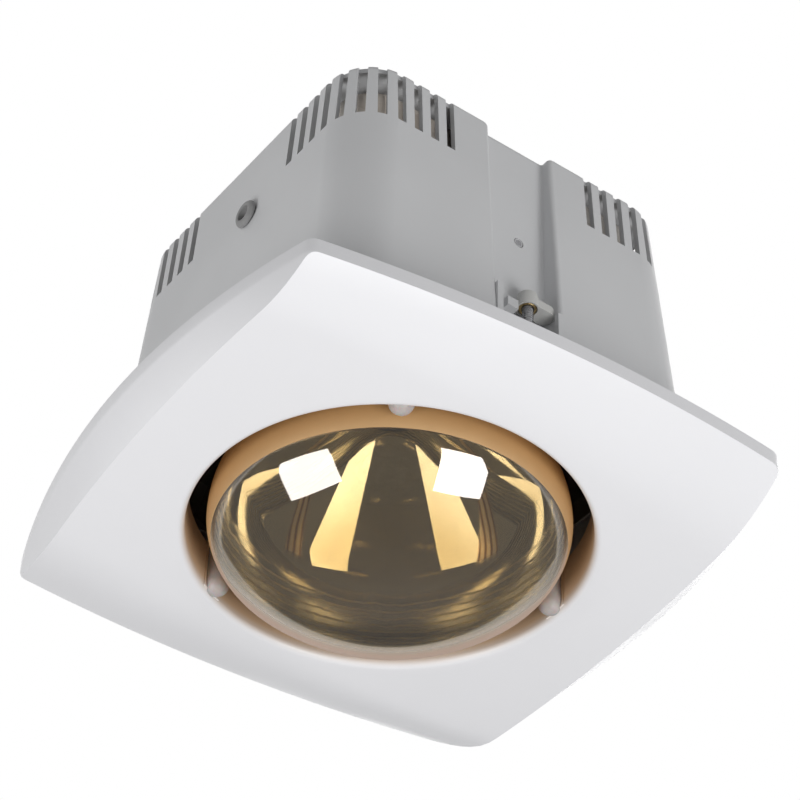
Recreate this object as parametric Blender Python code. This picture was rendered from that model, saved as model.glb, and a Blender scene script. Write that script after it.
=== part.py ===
# Recessed bathroom heat lamp: one reflector bulb behind a square fascia with a round opening.
# Metres, +Z up into the ceiling void. The ceiling's lower surface is z = 0 and the bulb's axis is
# x = y = 0. The near corner of the fascia is at -X -Y.

import math

import bmesh
import bpy
from mathutils import Matrix, Vector

# Clearances shared by all pieces
GAP = 0.0003
CUT_OVERRUN = 0.003
EMBED = 0.0006
MERGE_DISTANCE = 0.00001
SHARP_ANGLE = math.radians(35)

# The bulb drives the rest: its radius sets the widths and the foot of its cap the heights
BULB_RADIUS = 0.0625
CAP_BOTTOM = 0.0906

# Fascia: a plate with four bowed sides, turned a little against the housing
FASCIA_TURN_ANGLE = math.radians(-3.7)
FASCIA_OVERHANG_X = 0.0057
FASCIA_OVERHANG_Y = 0.0122
FACE_BULGE = 0.0066
CRESCENT_BULGE = 0.0162
FASCIA_DEPTH = 0.0147
RIM_HEIGHT = 0.0060
CORNER_REACH_NEAR = 0.0030
CORNER_REACH_RIGHT = 0.0050
CORNER_REACH_FAR = 0.0200
CORNER_REACH_LEFT = 0.0035
FASCIA_CORNER_STEPS = 4
FACE_WALL = 0.0022
ROLL_NARROW = 0.0240
ROLL_WIDE = 0.0420
SIDE_STEPS = 12
FACE_RING_SHARES = (1.0, 0.92, 0.82, 0.70, 0.55, 0.30, 0.0)
BACK_RING_SHARES = (0.0, 0.55, 0.78, 1.0)

# Round opening and its collar
OPENING_CLEARANCE = 0.0071
OPENING_FILLET = 0.0025
FILLET_STEPS = 3
COLLAR_WALL = 0.0020
COLLAR_TOP = 0.0053
SNAP_COUNT = 4
SNAP_WIDTH = 0.0100
SNAP_HEIGHT = 0.0020
SNAP_CLEARANCE = 0.0009
SNAP_FIRST_ANGLE = math.radians(45)

# Bumper pegs that steady the bulb in the opening
PEG_CLEARANCE = 0.0004
PEG_RADIUS = 0.0044
PEG_TIP = -0.0147
PEG_DOME_STEPS = 4
PEG_SEGMENTS = 16
PEG_NECK_RADIUS = 0.0022
PEG_HEAD_RADIUS = 0.0036
PEG_HEAD_HEIGHT = 0.0016
PEG_WALL = 0.0011
PEG_ROOF_UNDERSIDE = 0.0043
PEG_ROOF_THICKNESS = 0.0024
PEG_ROOF_CLEARANCE = 0.0011
PEG_ANGLES = {
    "near": math.radians(-123),
    "right": math.radians(-3),
    "left": math.radians(117),
}

# Housing: a drafted box with round corners, closed at the top
HOUSING_SHIFT = 0.0015
HOUSING_ROOM = 0.0078
HOUSING_HEADROOM = 0.0070
HOUSING_DRAFT_SLOPE = 0.0555
HOUSING_CORNER = 0.0190
HOUSING_WALL = 0.0022
HOUSING_TOP_ROUND = 0.0035
CORNER_STEPS = 8
TOP_ROUND_STEPS = 3
FLANGE_WIDTH = 0.0086
FLANGE_THICKNESS = 0.0020
MOUTH_CLEARANCE = 0.0026

# Vent slots round the four upright corners
SLOTS_PER_CORNER = 11
SLOT_PITCH = 0.0070
SLOT_WIDTH = 0.0035
SLOT_HEIGHT = 0.0273

# Clamp channels in the two Y faces
CHANNEL_WIDTH = 0.0272
CHANNEL_DEPTH = 0.0043
LEDGE_TOP = 0.0110
LIP_WIDTH = 0.0018
LIP_DROP = 0.0005
LIP_PROUD = 0.0012
LIP_DEPTH = 0.0020
STOP_WIDTH = 0.0045
STOP_DEPTH = 0.0050
STOP_HEIGHT = 0.0040
STOP_RISE = 0.0013

# Swing clamp: a screw standing on the ledge and a dog that rides on it
CLAMP_OFFSET_X = 0.0030
CLAMP_STANDOFF = 0.0045
CLAMP_SCREW_RADIUS = 0.0020
CLAMP_SCREW_RISE = 0.0085
CLAMP_HEAD_RADIUS = 0.0034
CLAMP_HEAD_HEIGHT = 0.0023
DOG_ARM_BOTTOM = 0.0445
DOG_ARM_HEIGHT = 0.0040
DOG_ARM_LENGTH = 0.0105
DOG_ARM_WIDTH = 0.0068
DOG_BOSS_RADIUS = 0.0040
DOG_BOSS_TOP_RADIUS = 0.0034
DOG_BOSS_HEIGHT = 0.0062
DOG_ARM_STEPS = 8
INSERT_RADIUS = 0.0031
INSERT_HEIGHT = 0.0030

# Steel lamp chamber inside the housing
CHAMBER_SIDE_GAP = 0.0041
CHAMBER_CORNER = 0.0150
CHAMBER_SHEET = 0.0008
CHAMBER_BOTTOM = 0.0130
CHAMBER_HEADROOM = 0.0045
CHAMBER_CORNER_STEPS = 5

# Screws that hold the chamber, through the channel floors
SIDE_SCREW_HEIGHT = 0.0800
SIDE_SCREW_RADIUS = 0.0017
SIDE_SCREW_HEAD_RADIUS = 0.0032
SIDE_SCREW_HEAD_HEIGHT = 0.0022
SIDE_SCREW_LENGTH = 0.0080

# Reflector bulb, 125 mm across, with an E27 cap
BULB_WIDEST = -0.0068
BULB_CROWN_RADIUS = 0.0817
BULB_SHOULDER_RADIUS = 0.0200
BULB_DISH_RADIUS = 0.0367
BULB_CONE_ANGLE = math.radians(41.4)
BULB_NECK_RADIUS = 0.0170
BULB_NECK_FILLET = 0.0060
BULB_NECK_BELOW_CAP = 0.0066
BULB_TAIL_BELOW_CAP = 0.0026
BULB_TAIL_IN_CAP = 0.0074
GLASS_THICKNESS = 0.0012
MIRROR_THICKNESS = 0.0004
MIRROR_EDGE = -0.0155
MIRROR_BELOW_NECK = 0.0060
CROWN_STEPS = 5
SHOULDER_STEPS = 6
BACK_STEPS = 5
NECK_STEPS = 2
BULB_SEGMENTS = 32

# Bulb cap
CAP_RADIUS = 0.0131
CAP_WALL = 0.0003
CAP_LENGTH = 0.0174
CAP_THREADS = 4
CAP_THREAD_DEPTH = 0.0006
INSULATOR_HEIGHT = 0.0056
INSULATOR_TOP_RADIUS = 0.0056
TIP_RADIUS = 0.0046
TIP_HEIGHT = 0.0029
CAP_SEGMENTS = 24

# Stem, lead wires and filament inside the bulb
STEM_RADIUS = 0.0075
STEM_TIP_RADIUS = 0.0035
STEM_LENGTH = 0.0295
STEM_DROP = 0.0005
STEM_FLARE_HEIGHT = 0.0080
LEAD_RADIUS = 0.0005
FILAMENT_RADIUS = 0.0007
FILAMENT_RING = 0.0092
FILAMENT_HEIGHT = 0.0460
FILAMENT_OPEN_ANGLE = math.radians(60)
FILAMENT_POINTS = 15

# Ceramic lampholder
HOLDER_WALL = 0.0032
HOLDER_MOUTH_BELOW_CAP = 0.0086
HOLDER_MOUTH_CLEARANCE = 0.0008
HOLDER_MOUTH_DEPTH = 0.0085
HOLDER_BORE_CLEARANCE = 0.0015
HOLDER_BORE_ABOVE_CAP = 0.0054
HOLDER_LIP_CHAMFER = 0.0015
HOLDER_POCKET_RADIUS = 0.0062
HOLDER_BACK = 0.0020
HOLDER_SCREW_CIRCLE = 0.0130
HOLDER_SCREW_DEPTH = 0.0045
HOLDER_SHELL_CLEARANCE = 0.0005
HOLDER_SHELL_WALL = 0.0005
HOLDER_SHELL_START = 0.0014
HOLDER_SHELL_ABOVE_CAP = 0.0020
HOLDER_CONTACT_RADIUS = 0.0042
HOLDER_CONTACT_THICKNESS = 0.0006
HOLDER_SEGMENTS = 32

# Small machine screws through the chamber's top plate
PLATE_SCREW_RADIUS = 0.0016
PLATE_SCREW_HEAD_RADIUS = 0.0032
PLATE_SCREW_HEAD_HEIGHT = 0.0020
SCREW_SEGMENTS = 12

# Terminal block and earth point under the top plate
BLOCK_SIDE_GAP = 0.0097
BLOCK_HOLDER_GAP = 0.0110
BLOCK_SIZE_Y = 0.0360
BLOCK_HEIGHT = 0.0140
BLOCK_WAY_PITCH = 0.0110
BLOCK_WAY_RADIUS = 0.0021
BLOCK_WAY_DROP = 0.0080
BLOCK_POCKET_RADIUS = 0.0024
BLOCK_POCKET_DEPTH = 0.0042
EARTH_Y = 0.0300
EARTH_TAG_THICKNESS = 0.0008
EARTH_TAG_RADIUS = 0.0038
EARTH_TAG_TAIL = 0.0080
EARTH_TAG_TAIL_WIDTH = 0.0040

# Wires between the terminal block, the lampholder and the earth tag
WIRE_RADIUS = 0.0013
WIRE_POINTS = 11
TUBE_STEPS = 2
WIRE_DIP = 0.0060

# Cable inlet in the -X face
INLET_Y = -0.0078
INLET_HEIGHT = 0.0933
INLET_BORE_RADIUS = 0.0030
INLET_BODY_RADIUS = 0.0041
INLET_FLANGE_RADIUS = 0.0054
INLET_FLANGE_THICKNESS = 0.0020
INLET_TAIL = 0.0102
INLET_NUT_RADIUS = 0.0068
INLET_NUT_THICKNESS = 0.0024
INLET_NUT_SIDES = 6

# Heights worked out from the foot of the bulb's cap
CAP_TOP = CAP_BOTTOM + CAP_LENGTH
INSULATOR_TOP = CAP_TOP + INSULATOR_HEIGHT
TIP_TOP = INSULATOR_TOP + TIP_HEIGHT
BULB_NECK_TOP = CAP_BOTTOM - BULB_NECK_BELOW_CAP
BULB_TAIL_START = CAP_BOTTOM - BULB_TAIL_BELOW_CAP
BULB_TAIL_TOP = CAP_BOTTOM + BULB_TAIL_IN_CAP
MIRROR_TOP = BULB_NECK_TOP - MIRROR_BELOW_NECK
STEM_TOP = BULB_TAIL_TOP - STEM_DROP
STEM_BOTTOM = STEM_TOP - STEM_LENGTH
HOLDER_MOUTH = CAP_BOTTOM - HOLDER_MOUTH_BELOW_CAP
HOLDER_BORE_TOP = CAP_TOP + HOLDER_BORE_ABOVE_CAP
HOLDER_SHELL_BOTTOM = CAP_BOTTOM + HOLDER_SHELL_START
HOLDER_SHELL_TOP = CAP_TOP + HOLDER_SHELL_ABOVE_CAP
CHAMBER_TOP = TIP_TOP + CHAMBER_HEADROOM
PLATE_UNDERSIDE = CHAMBER_TOP - CHAMBER_SHEET
HOLDER_TOP = PLATE_UNDERSIDE - GAP
BLOCK_TOP = PLATE_UNDERSIDE - GAP
BLOCK_BOTTOM = BLOCK_TOP - BLOCK_HEIGHT
WIRE_LEVEL = BLOCK_BOTTOM + BLOCK_WAY_DROP
HOUSING_TOP = CHAMBER_TOP + HOUSING_HEADROOM
HOUSING_INNER_TOP = HOUSING_TOP - HOUSING_WALL
SLOT_BOTTOM = HOUSING_TOP - SLOT_HEIGHT
LEDGE_UNDERSIDE = LEDGE_TOP - HOUSING_WALL
LIP_TOP = DOG_ARM_BOTTOM - LIP_DROP
STOP_TOP = DOG_ARM_BOTTOM + STOP_RISE
CLAMP_SCREW_TOP = DOG_ARM_BOTTOM + CLAMP_SCREW_RISE

# Widths worked out from the bulb's radius
OPENING_RADIUS = BULB_RADIUS + OPENING_CLEARANCE
COLLAR_OUTER_RADIUS = OPENING_RADIUS + COLLAR_WALL
MOUTH_RADIUS = COLLAR_OUTER_RADIUS + MOUTH_CLEARANCE
SNAP_RADIUS = MOUTH_RADIUS - SNAP_CLEARANCE
PEG_CIRCLE_RADIUS = BULB_RADIUS + PEG_RADIUS + PEG_CLEARANCE
PEG_BORE_RADIUS = PEG_RADIUS + GAP
PEG_ROOF_INNER_RADIUS = BULB_RADIUS + PEG_ROOF_CLEARANCE
HOUSING_HALF_TOP = BULB_RADIUS + HOUSING_ROOM
FLANGE_HALF = HOUSING_HALF_TOP + HOUSING_DRAFT_SLOPE * HOUSING_TOP + FLANGE_WIDTH
FASCIA_HALF_CHORD_X = FLANGE_HALF + FASCIA_OVERHANG_X
FASCIA_HALF_CHORD_Y = FLANGE_HALF + FASCIA_OVERHANG_Y
CHANNEL_SIDE = CHANNEL_WIDTH / 2
CHANNEL_FLOOR = HOUSING_HALF_TOP - CHANNEL_DEPTH
CLAMP_AXIS_Y = CHANNEL_FLOOR + CLAMP_STANDOFF
CHAMBER_HALF_X = HOUSING_HALF_TOP - HOUSING_WALL - CHAMBER_SIDE_GAP
CHAMBER_HALF_Y = CHANNEL_FLOOR - HOUSING_WALL - GAP
CAP_INNER_RADIUS = CAP_RADIUS - CAP_THREAD_DEPTH - CAP_WALL
BULB_TAIL_RADIUS = CAP_INNER_RADIUS - GAP
HOLDER_MOUTH_RADIUS = BULB_NECK_RADIUS + HOLDER_MOUTH_CLEARANCE
HOLDER_RADIUS = HOLDER_MOUTH_RADIUS + HOLDER_WALL
HOLDER_BORE_RADIUS = CAP_RADIUS + HOLDER_BORE_CLEARANCE
BLOCK_FACE_X = -HOLDER_RADIUS - BLOCK_HOLDER_GAP
BLOCK_SIZE_X = BLOCK_FACE_X - HOUSING_SHIFT + CHAMBER_HALF_X - CHAMBER_SHEET - BLOCK_SIDE_GAP
BLOCK_CENTRE_X = BLOCK_FACE_X - BLOCK_SIZE_X / 2
BLOCK_WAY_DEPTH = BLOCK_SIZE_X / 4

# Colours, roughness and metallic value of each material
FINISHES = {
    "white_abs": ((0.78, 0.78, 0.80), 0.35, 0.0),
    "grey_plastic": ((0.40, 0.41, 0.42), 0.50, 0.0),
    "clamp_plastic": ((0.62, 0.62, 0.60), 0.50, 0.0),
    "silicone": ((0.72, 0.71, 0.70), 0.45, 0.0),
    "steel_sheet": ((0.45, 0.42, 0.38), 0.38, 1.0),
    "zinc_screw": ((0.34, 0.34, 0.36), 0.30, 1.0),
    "clear_glass": ((0.95, 0.90, 0.80), 0.03, 0.0),
    "bulb_mirror": ((0.85, 0.66, 0.42), 0.10, 1.0),
    "nickel_cap": ((0.70, 0.68, 0.62), 0.28, 1.0),
    "black_glass": ((0.03, 0.03, 0.03), 0.20, 0.0),
    "solder": ((0.55, 0.55, 0.56), 0.40, 1.0),
    "tungsten": ((0.20, 0.19, 0.18), 0.45, 1.0),
    "lead_nickel": ((0.50, 0.48, 0.45), 0.35, 1.0),
    "ceramic": ((0.80, 0.78, 0.72), 0.30, 0.0),
    "brass": ((0.72, 0.55, 0.28), 0.30, 1.0),
    "black_rubber": ((0.06, 0.06, 0.06), 0.60, 0.0),
    "wire_brown": ((0.22, 0.09, 0.04), 0.45, 0.0),
    "wire_blue": ((0.04, 0.13, 0.42), 0.45, 0.0),
    "wire_green": ((0.10, 0.38, 0.08), 0.45, 0.0),
}


def clear_scene():
    for item in list(bpy.data.objects):
        bpy.data.objects.remove(item, do_unlink=True)


def finish_material(name):
    # One Principled material per finish, made when first used
    found = bpy.data.materials.get(name)
    if found:
        return found
    colour, roughness, metallic = FINISHES[name]
    made = bpy.data.materials.new(name)
    made.use_nodes = True
    shader = made.node_tree.nodes["Principled BSDF"]
    shader.inputs["Base Color"].default_value = (*colour, 1.0)
    shader.inputs["Roughness"].default_value = roughness
    shader.inputs["Metallic"].default_value = metallic
    made.diffuse_color = (*colour, 1.0)
    return made


def place_object(name, mesh, finish=None, parent=None):
    item = bpy.data.objects.new(name, mesh)
    bpy.context.scene.collection.objects.link(item)
    if finish:
        mesh.materials.append(finish_material(finish))
    if parent:
        item.parent = parent
    return item


def place_axis(name, location, turn=0.0):
    # An empty on the axis that a moving piece turns about or slides along
    axis = bpy.data.objects.new(name, None)
    axis.location = location
    axis.rotation_euler = (0.0, 0.0, turn)
    bpy.context.scene.collection.objects.link(axis)
    return axis


def close_mesh(name, shape, smooth=True):
    # Merge doubled points, face all sides outwards and shade round forms smooth
    bmesh.ops.remove_doubles(shape, verts=shape.verts, dist=MERGE_DISTANCE)
    bmesh.ops.dissolve_degenerate(shape, edges=shape.edges, dist=MERGE_DISTANCE)
    bmesh.ops.recalc_face_normals(shape, faces=shape.faces)
    mesh = bpy.data.meshes.new(name)
    shape.to_mesh(mesh)
    shape.free()
    if smooth:
        mesh.shade_smooth()
        mesh.set_sharp_from_angle(angle=SHARP_ANGLE)
    return mesh


def add_ring(shape, points):
    return [shape.verts.new(point) for point in points]


def join_rings(shape, first, second):
    count = len(first)
    for index in range(count):
        after = (index + 1) % count
        shape.faces.new((first[index], first[after], second[after], second[index]))


def loft(shape, rings, closed=False):
    # Skin a row of rings, each with as many points; closed joins the last to the first
    rows = [add_ring(shape, points) for points in rings]
    for first, second in zip(rows, rows[1:]):
        join_rings(shape, first, second)
    if closed:
        join_rings(shape, rows[-1], rows[0])
    return rows


def circle_points(radius, level, segments):
    step = 2 * math.pi / segments
    return [
        Vector((radius * math.cos(step * index), radius * math.sin(step * index), level))
        for index in range(segments)
    ]


def turn_profile(shape, profile, segments, frame=None):
    # Revolve a profile of (radius, level) about Z; a radius of zero closes an end on the axis,
    # and a profile with no such end is a ring, joined from its last point to its first
    frame = frame or Matrix.Identity(4)
    open_start = profile[0][0] > 0.0
    open_end = profile[-1][0] > 0.0
    body = [point for point in profile if point[0] > 0.0]
    rings = []
    for radius, level in body:
        rings.append([frame @ point for point in circle_points(radius, level, segments)])
    rows = loft(shape, rings, closed=open_start and open_end)
    ends = []
    if not open_start:
        ends.append((rows[0], profile[0]))
    if not open_end:
        ends.append((rows[-1], profile[-1]))
    for row, end in ends:
        tip = shape.verts.new(frame @ Vector((0.0, 0.0, end[1])))
        for index, vertex in enumerate(row):
            shape.faces.new((vertex, row[(index + 1) % len(row)], tip))


def turned(name, profile, segments, finish, parent=None, frame=None):
    shape = bmesh.new()
    turn_profile(shape, profile, segments, frame)
    return place_object(name, close_mesh(name, shape), finish, parent)


def add_box(shape, low, high, frame=None):
    frame = frame or Matrix.Identity(4)
    rings = []
    for level in (low[2], high[2]):
        rings.append([
            frame @ Vector((x, y, level))
            for x, y in ((low[0], low[1]), (high[0], low[1]), (high[0], high[1]), (low[0], high[1]))
        ])
    rows = loft(shape, rings)
    shape.faces.new(list(reversed(rows[0])))
    shape.faces.new(rows[1])


def add_rod(shape, radius, start, end, segments, frame=None):
    turn_profile(shape, [(0.0, start), (radius, start), (radius, end), (0.0, end)], segments, frame)


def tool_object(name, shape):
    tool = place_object(name, close_mesh(name, shape, smooth=False))
    tool.hide_render = True
    tool.display_type = "WIRE"
    return tool


def use_tool(item, tool, operation):
    step = item.modifiers.new(tool.name, "BOOLEAN")
    step.operation = operation
    step.solver = "EXACT"
    step.object = tool


def sideways_frame(x, y, level, direction):
    # Turns a form that stands along Z to lie along the direction, with its foot at x, y, level
    aim = Vector(direction).to_track_quat("Z", "X").to_matrix().to_4x4()
    return Matrix.Translation((x, y, level)) @ aim


def fascia_outline(half_x, half_y, bulge_x, bulge_y):
    # Four bowed sides with rounded corners, anticlockwise from the near corner
    corners = (CORNER_REACH_RIGHT, CORNER_REACH_FAR, CORNER_REACH_LEFT, CORNER_REACH_NEAR)
    sides = []
    for quarter in range(4):
        along_x = quarter % 2 == 0
        run, depth = (half_x, half_y) if along_x else (half_y, half_x)
        bulge = bulge_y if along_x else bulge_x
        start = 1.0 - corners[quarter - 1] / run
        end = 1.0 - corners[quarter] / run
        side = []
        for step in range(SIDE_STEPS + 1):
            share = -start + (start + end) * step / SIDE_STEPS
            side.append(Vector((run * share, -depth - bulge * (1 - share * share), 0.0)))
        turn = Matrix.Rotation(quarter * math.pi / 2, 3, "Z")
        sides.append([turn @ point for point in side])
    outline = []
    for quarter, side in enumerate(sides):
        following = sides[(quarter + 1) % 4][0]
        sign_x = 1 if quarter in (0, 1) else -1
        sign_y = 1 if quarter in (1, 2) else -1
        corner = Vector((sign_x * half_x, sign_y * half_y, 0.0))
        outline += side
        for step in range(1, FASCIA_CORNER_STEPS):
            share = step / FASCIA_CORNER_STEPS
            outline.append(side[-1].lerp(corner, share).lerp(corner.lerp(following, share), share))
    return outline


def face_level(x, y):
    # The face is flat round the opening and rolls up to the rim along the two Y sides; each roll
    # widens along its side, the opposite way on the opposite side
    share = max(-1.0, min(1.0, x / FASCIA_HALF_CHORD_X))
    side = -1 if y < 0 else 1
    width = ROLL_NARROW + (ROLL_WIDE - ROLL_NARROW) * (1 - side * share) / 2
    inset = FASCIA_HALF_CHORD_Y + FACE_BULGE * (1 - share * share) - abs(y)
    reach = max(0.0, min(1.0, 1.0 - inset / width))
    return -FASCIA_DEPTH + (FASCIA_DEPTH - RIM_HEIGHT) * reach * reach


def face_ring(outline, radius, share, lift):
    # A ring between the opening and the outline, lying on the face or lifted behind it
    ring = []
    for point in outline:
        inner = radius * point.normalized()
        spot = inner.lerp(point, share)
        ring.append(Vector((spot.x, spot.y, face_level(spot.x, spot.y) + lift)))
    return ring


def at_level(points, level):
    return [Vector((point.x, point.y, level)) for point in points]


def fascia_rings():
    # From the back of the rim over the face, up the collar and back along the hollow side
    rim = fascia_outline(FASCIA_HALF_CHORD_X, FASCIA_HALF_CHORD_Y, CRESCENT_BULGE, FACE_BULGE)
    face = fascia_outline(FASCIA_HALF_CHORD_X, FASCIA_HALF_CHORD_Y, FACE_BULGE, FACE_BULGE)
    inner_x = FASCIA_HALF_CHORD_X - FACE_WALL
    inner_y = FASCIA_HALF_CHORD_Y - FACE_WALL
    inner_rim = fascia_outline(inner_x, inner_y, CRESCENT_BULGE, FACE_BULGE)
    inner_face = fascia_outline(inner_x, inner_y, FACE_BULGE, FACE_BULGE)
    rings = [at_level(rim, 0.0), at_level(rim, -RIM_HEIGHT)]
    fillet_radius = OPENING_RADIUS + OPENING_FILLET
    for share in FACE_RING_SHARES:
        rings.append(face_ring(face, fillet_radius, share, 0.0))
    for step in range(1, FILLET_STEPS + 1):
        angle = math.pi / 2 * step / FILLET_STEPS
        radius = fillet_radius - OPENING_FILLET * math.sin(angle)
        level = -FASCIA_DEPTH + OPENING_FILLET * (1 - math.cos(angle))
        rings.append(at_level([radius * point.normalized() for point in face], level))
    rings.append(at_level([OPENING_RADIUS * point.normalized() for point in face], COLLAR_TOP))
    rings.append(at_level([COLLAR_OUTER_RADIUS * point.normalized() for point in face], COLLAR_TOP))
    for share in BACK_RING_SHARES:
        rings.append(face_ring(inner_face, COLLAR_OUTER_RADIUS, share, FACE_WALL))
    crease = rings[-1]
    rim_foot = -RIM_HEIGHT + FACE_WALL / 2
    rings.append([
        Vector((point.x, point.y, max(rim_foot, below.z)))
        for point, below in zip(inner_rim, crease)
    ])
    rings.append(at_level(inner_rim, 0.0))
    return rings


def peg_place(angle):
    return Matrix.Translation((
        PEG_CIRCLE_RADIUS * math.cos(angle),
        PEG_CIRCLE_RADIUS * math.sin(angle),
        0.0,
    ))


def peg_dome(radius):
    # The lower half of a ball about the centre of the peg's round tip
    centre = PEG_TIP + PEG_RADIUS
    dome = []
    for step in range(PEG_DOME_STEPS + 1):
        angle = math.pi / 2 * step / PEG_DOME_STEPS
        dome.append((radius * math.sin(angle), centre - radius * math.cos(angle)))
    return dome


def build_fascia(axis):
    shape = bmesh.new()
    loft(shape, fascia_rings(), closed=True)
    shape.transform(Matrix.Rotation(FASCIA_TURN_ANGLE, 4, "Z"))
    fascia = place_object("fascia", close_mesh("fascia", shape), "white_abs", axis)

    roof_top = PEG_ROOF_UNDERSIDE + PEG_ROOF_THICKNESS
    boss_radius = PEG_BORE_RADIUS + PEG_WALL
    bosses = bmesh.new()
    for angle in PEG_ANGLES.values():
        start = -FASCIA_DEPTH + FACE_WALL - EMBED
        add_rod(bosses, boss_radius, start, roof_top, PEG_SEGMENTS, peg_place(angle))
    use_tool(fascia, tool_object("fascia_bosses", bosses), "UNION")

    snaps = bmesh.new()
    for index in range(SNAP_COUNT):
        turn = Matrix.Rotation(SNAP_FIRST_ANGLE + index * 2 * math.pi / SNAP_COUNT, 4, "Z")
        low = (COLLAR_OUTER_RADIUS - EMBED, -SNAP_WIDTH / 2, GAP)
        reach = math.sqrt(SNAP_RADIUS ** 2 - (SNAP_WIDTH / 2) ** 2)
        add_box(snaps, low, (reach, SNAP_WIDTH / 2, GAP + SNAP_HEIGHT), turn)
    use_tool(fascia, tool_object("fascia_snaps", snaps), "UNION")

    bores = bmesh.new()
    trim = [
        (0.0, -FASCIA_DEPTH - CUT_OVERRUN),
        (OPENING_RADIUS - GAP, -FASCIA_DEPTH - CUT_OVERRUN),
        (OPENING_RADIUS - GAP, PEG_ROOF_UNDERSIDE),
        (PEG_ROOF_INNER_RADIUS, PEG_ROOF_UNDERSIDE),
        (PEG_ROOF_INNER_RADIUS, roof_top + CUT_OVERRUN),
        (0.0, roof_top + CUT_OVERRUN),
    ]
    turn_profile(bores, trim, 2 * BULB_SEGMENTS)
    use_tool(fascia, tool_object("fascia_clearance", bores), "DIFFERENCE")

    seats = bmesh.new()
    seat_profile = peg_dome(PEG_BORE_RADIUS) + [
        (PEG_BORE_RADIUS, PEG_ROOF_UNDERSIDE),
        (PEG_NECK_RADIUS + GAP, PEG_ROOF_UNDERSIDE),
        (PEG_NECK_RADIUS + GAP, roof_top + CUT_OVERRUN),
        (0.0, roof_top + CUT_OVERRUN),
    ]
    for angle in PEG_ANGLES.values():
        turn_profile(seats, seat_profile, PEG_SEGMENTS, peg_place(angle))
    use_tool(fascia, tool_object("peg_seats", seats), "DIFFERENCE")
    return fascia


def build_pegs(axis):
    # Translucent pegs with a round tip, pushed up through the roof of their bosses
    shoulder = PEG_ROOF_UNDERSIDE - GAP
    roof_top = PEG_ROOF_UNDERSIDE + PEG_ROOF_THICKNESS
    profile = peg_dome(PEG_RADIUS) + [
        (PEG_RADIUS, shoulder),
        (PEG_NECK_RADIUS, shoulder),
        (PEG_NECK_RADIUS, roof_top + GAP),
        (PEG_HEAD_RADIUS, roof_top + GAP),
        (PEG_NECK_RADIUS, roof_top + GAP + PEG_HEAD_HEIGHT),
        (0.0, roof_top + GAP + PEG_HEAD_HEIGHT),
    ]
    for name, angle in PEG_ANGLES.items():
        turned("bumper_" + name, profile, PEG_SEGMENTS, "silicone", axis, peg_place(angle))


def housing_half(level):
    return HOUSING_HALF_TOP + HOUSING_DRAFT_SLOPE * (HOUSING_TOP - level)


def box_outline(half_x, half_y, corner, steps, notch=None):
    # A rounded rectangle about the housing's axis, anticlockwise from the near side's left end;
    # notch is the half width and floor of the channels in the two Y sides
    points = []
    for quarter in range(4):
        along_x = quarter % 2 == 0
        run, depth = (half_x, half_y) if along_x else (half_y, half_x)
        turn = Matrix.Rotation(quarter * math.pi / 2, 3, "Z")
        side = []
        if notch:
            side_x, floor = notch if along_x else (notch[0], depth)
            outer_x = (side_x + run - corner) / 2
            for x, y in ((-outer_x, depth), (-side_x, depth), (-side_x, floor),
                         (side_x, floor), (side_x, depth), (outer_x, depth)):
                side.append(Vector((x, -y, 0.0)))
        for step in range(steps + 1):
            angle = math.pi / 2 * step / steps
            side.append(Vector((
                run - corner + corner * math.sin(angle),
                -depth + corner - corner * math.cos(angle),
                0.0,
            )))
        points += [turn @ point for point in side]
    shift = Vector((HOUSING_SHIFT, 0.0, 0.0))
    return [point + shift for point in points]


def housing_ring(level, inset, notched):
    # The drafted box at one level, drawn in by the inset; where it isn't notched, the channel's
    # points lie on the face, so that every ring has as many points
    half = housing_half(level) - inset
    notch = (CHANNEL_SIDE + inset, CHANNEL_FLOOR - inset if notched else half)
    outline = box_outline(half, half, HOUSING_CORNER - inset, CORNER_STEPS, notch)
    return at_level(outline, level)


def mouth_ring(level):
    outline = box_outline(
        MOUTH_RADIUS, MOUTH_RADIUS, HOUSING_CORNER, CORNER_STEPS, (CHANNEL_SIDE, MOUTH_RADIUS)
    )
    return [
        Vector((MOUTH_RADIUS * math.cos(angle), MOUTH_RADIUS * math.sin(angle), level))
        for angle in (math.atan2(point.y, point.x - HOUSING_SHIFT) for point in outline)
    ]


def flange_ring(level):
    notch = (CHANNEL_SIDE, FLANGE_HALF)
    outline = box_outline(FLANGE_HALF, FLANGE_HALF, HOUSING_CORNER, CORNER_STEPS, notch)
    return at_level(outline, level)


def housing_shell():
    shape = bmesh.new()
    rings = [
        mouth_ring(-FLANGE_THICKNESS),
        flange_ring(-FLANGE_THICKNESS),
        flange_ring(0.0),
        housing_ring(0.0, 0.0, False),
        housing_ring(LEDGE_TOP, 0.0, False),
        housing_ring(LEDGE_TOP, 0.0, True),
    ]
    round_start = HOUSING_TOP - HOUSING_TOP_ROUND
    for step in range(TOP_ROUND_STEPS + 1):
        angle = math.pi / 2 * step / TOP_ROUND_STEPS
        level = round_start + HOUSING_TOP_ROUND * math.sin(angle)
        rings.append(housing_ring(level, HOUSING_TOP_ROUND * (1 - math.cos(angle)), True))
    outside = loft(shape, rings)
    shape.faces.new(outside[-1])
    inner_rings = [
        housing_ring(HOUSING_INNER_TOP, HOUSING_WALL, True),
        housing_ring(LEDGE_UNDERSIDE, HOUSING_WALL, True),
        housing_ring(LEDGE_UNDERSIDE, HOUSING_WALL, False),
        housing_ring(0.0, HOUSING_WALL, False),
        mouth_ring(0.0),
    ]
    inside = loft(shape, inner_rings)
    shape.faces.new(inside[0])
    join_rings(shape, inside[-1], outside[0])
    return shape


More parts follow.
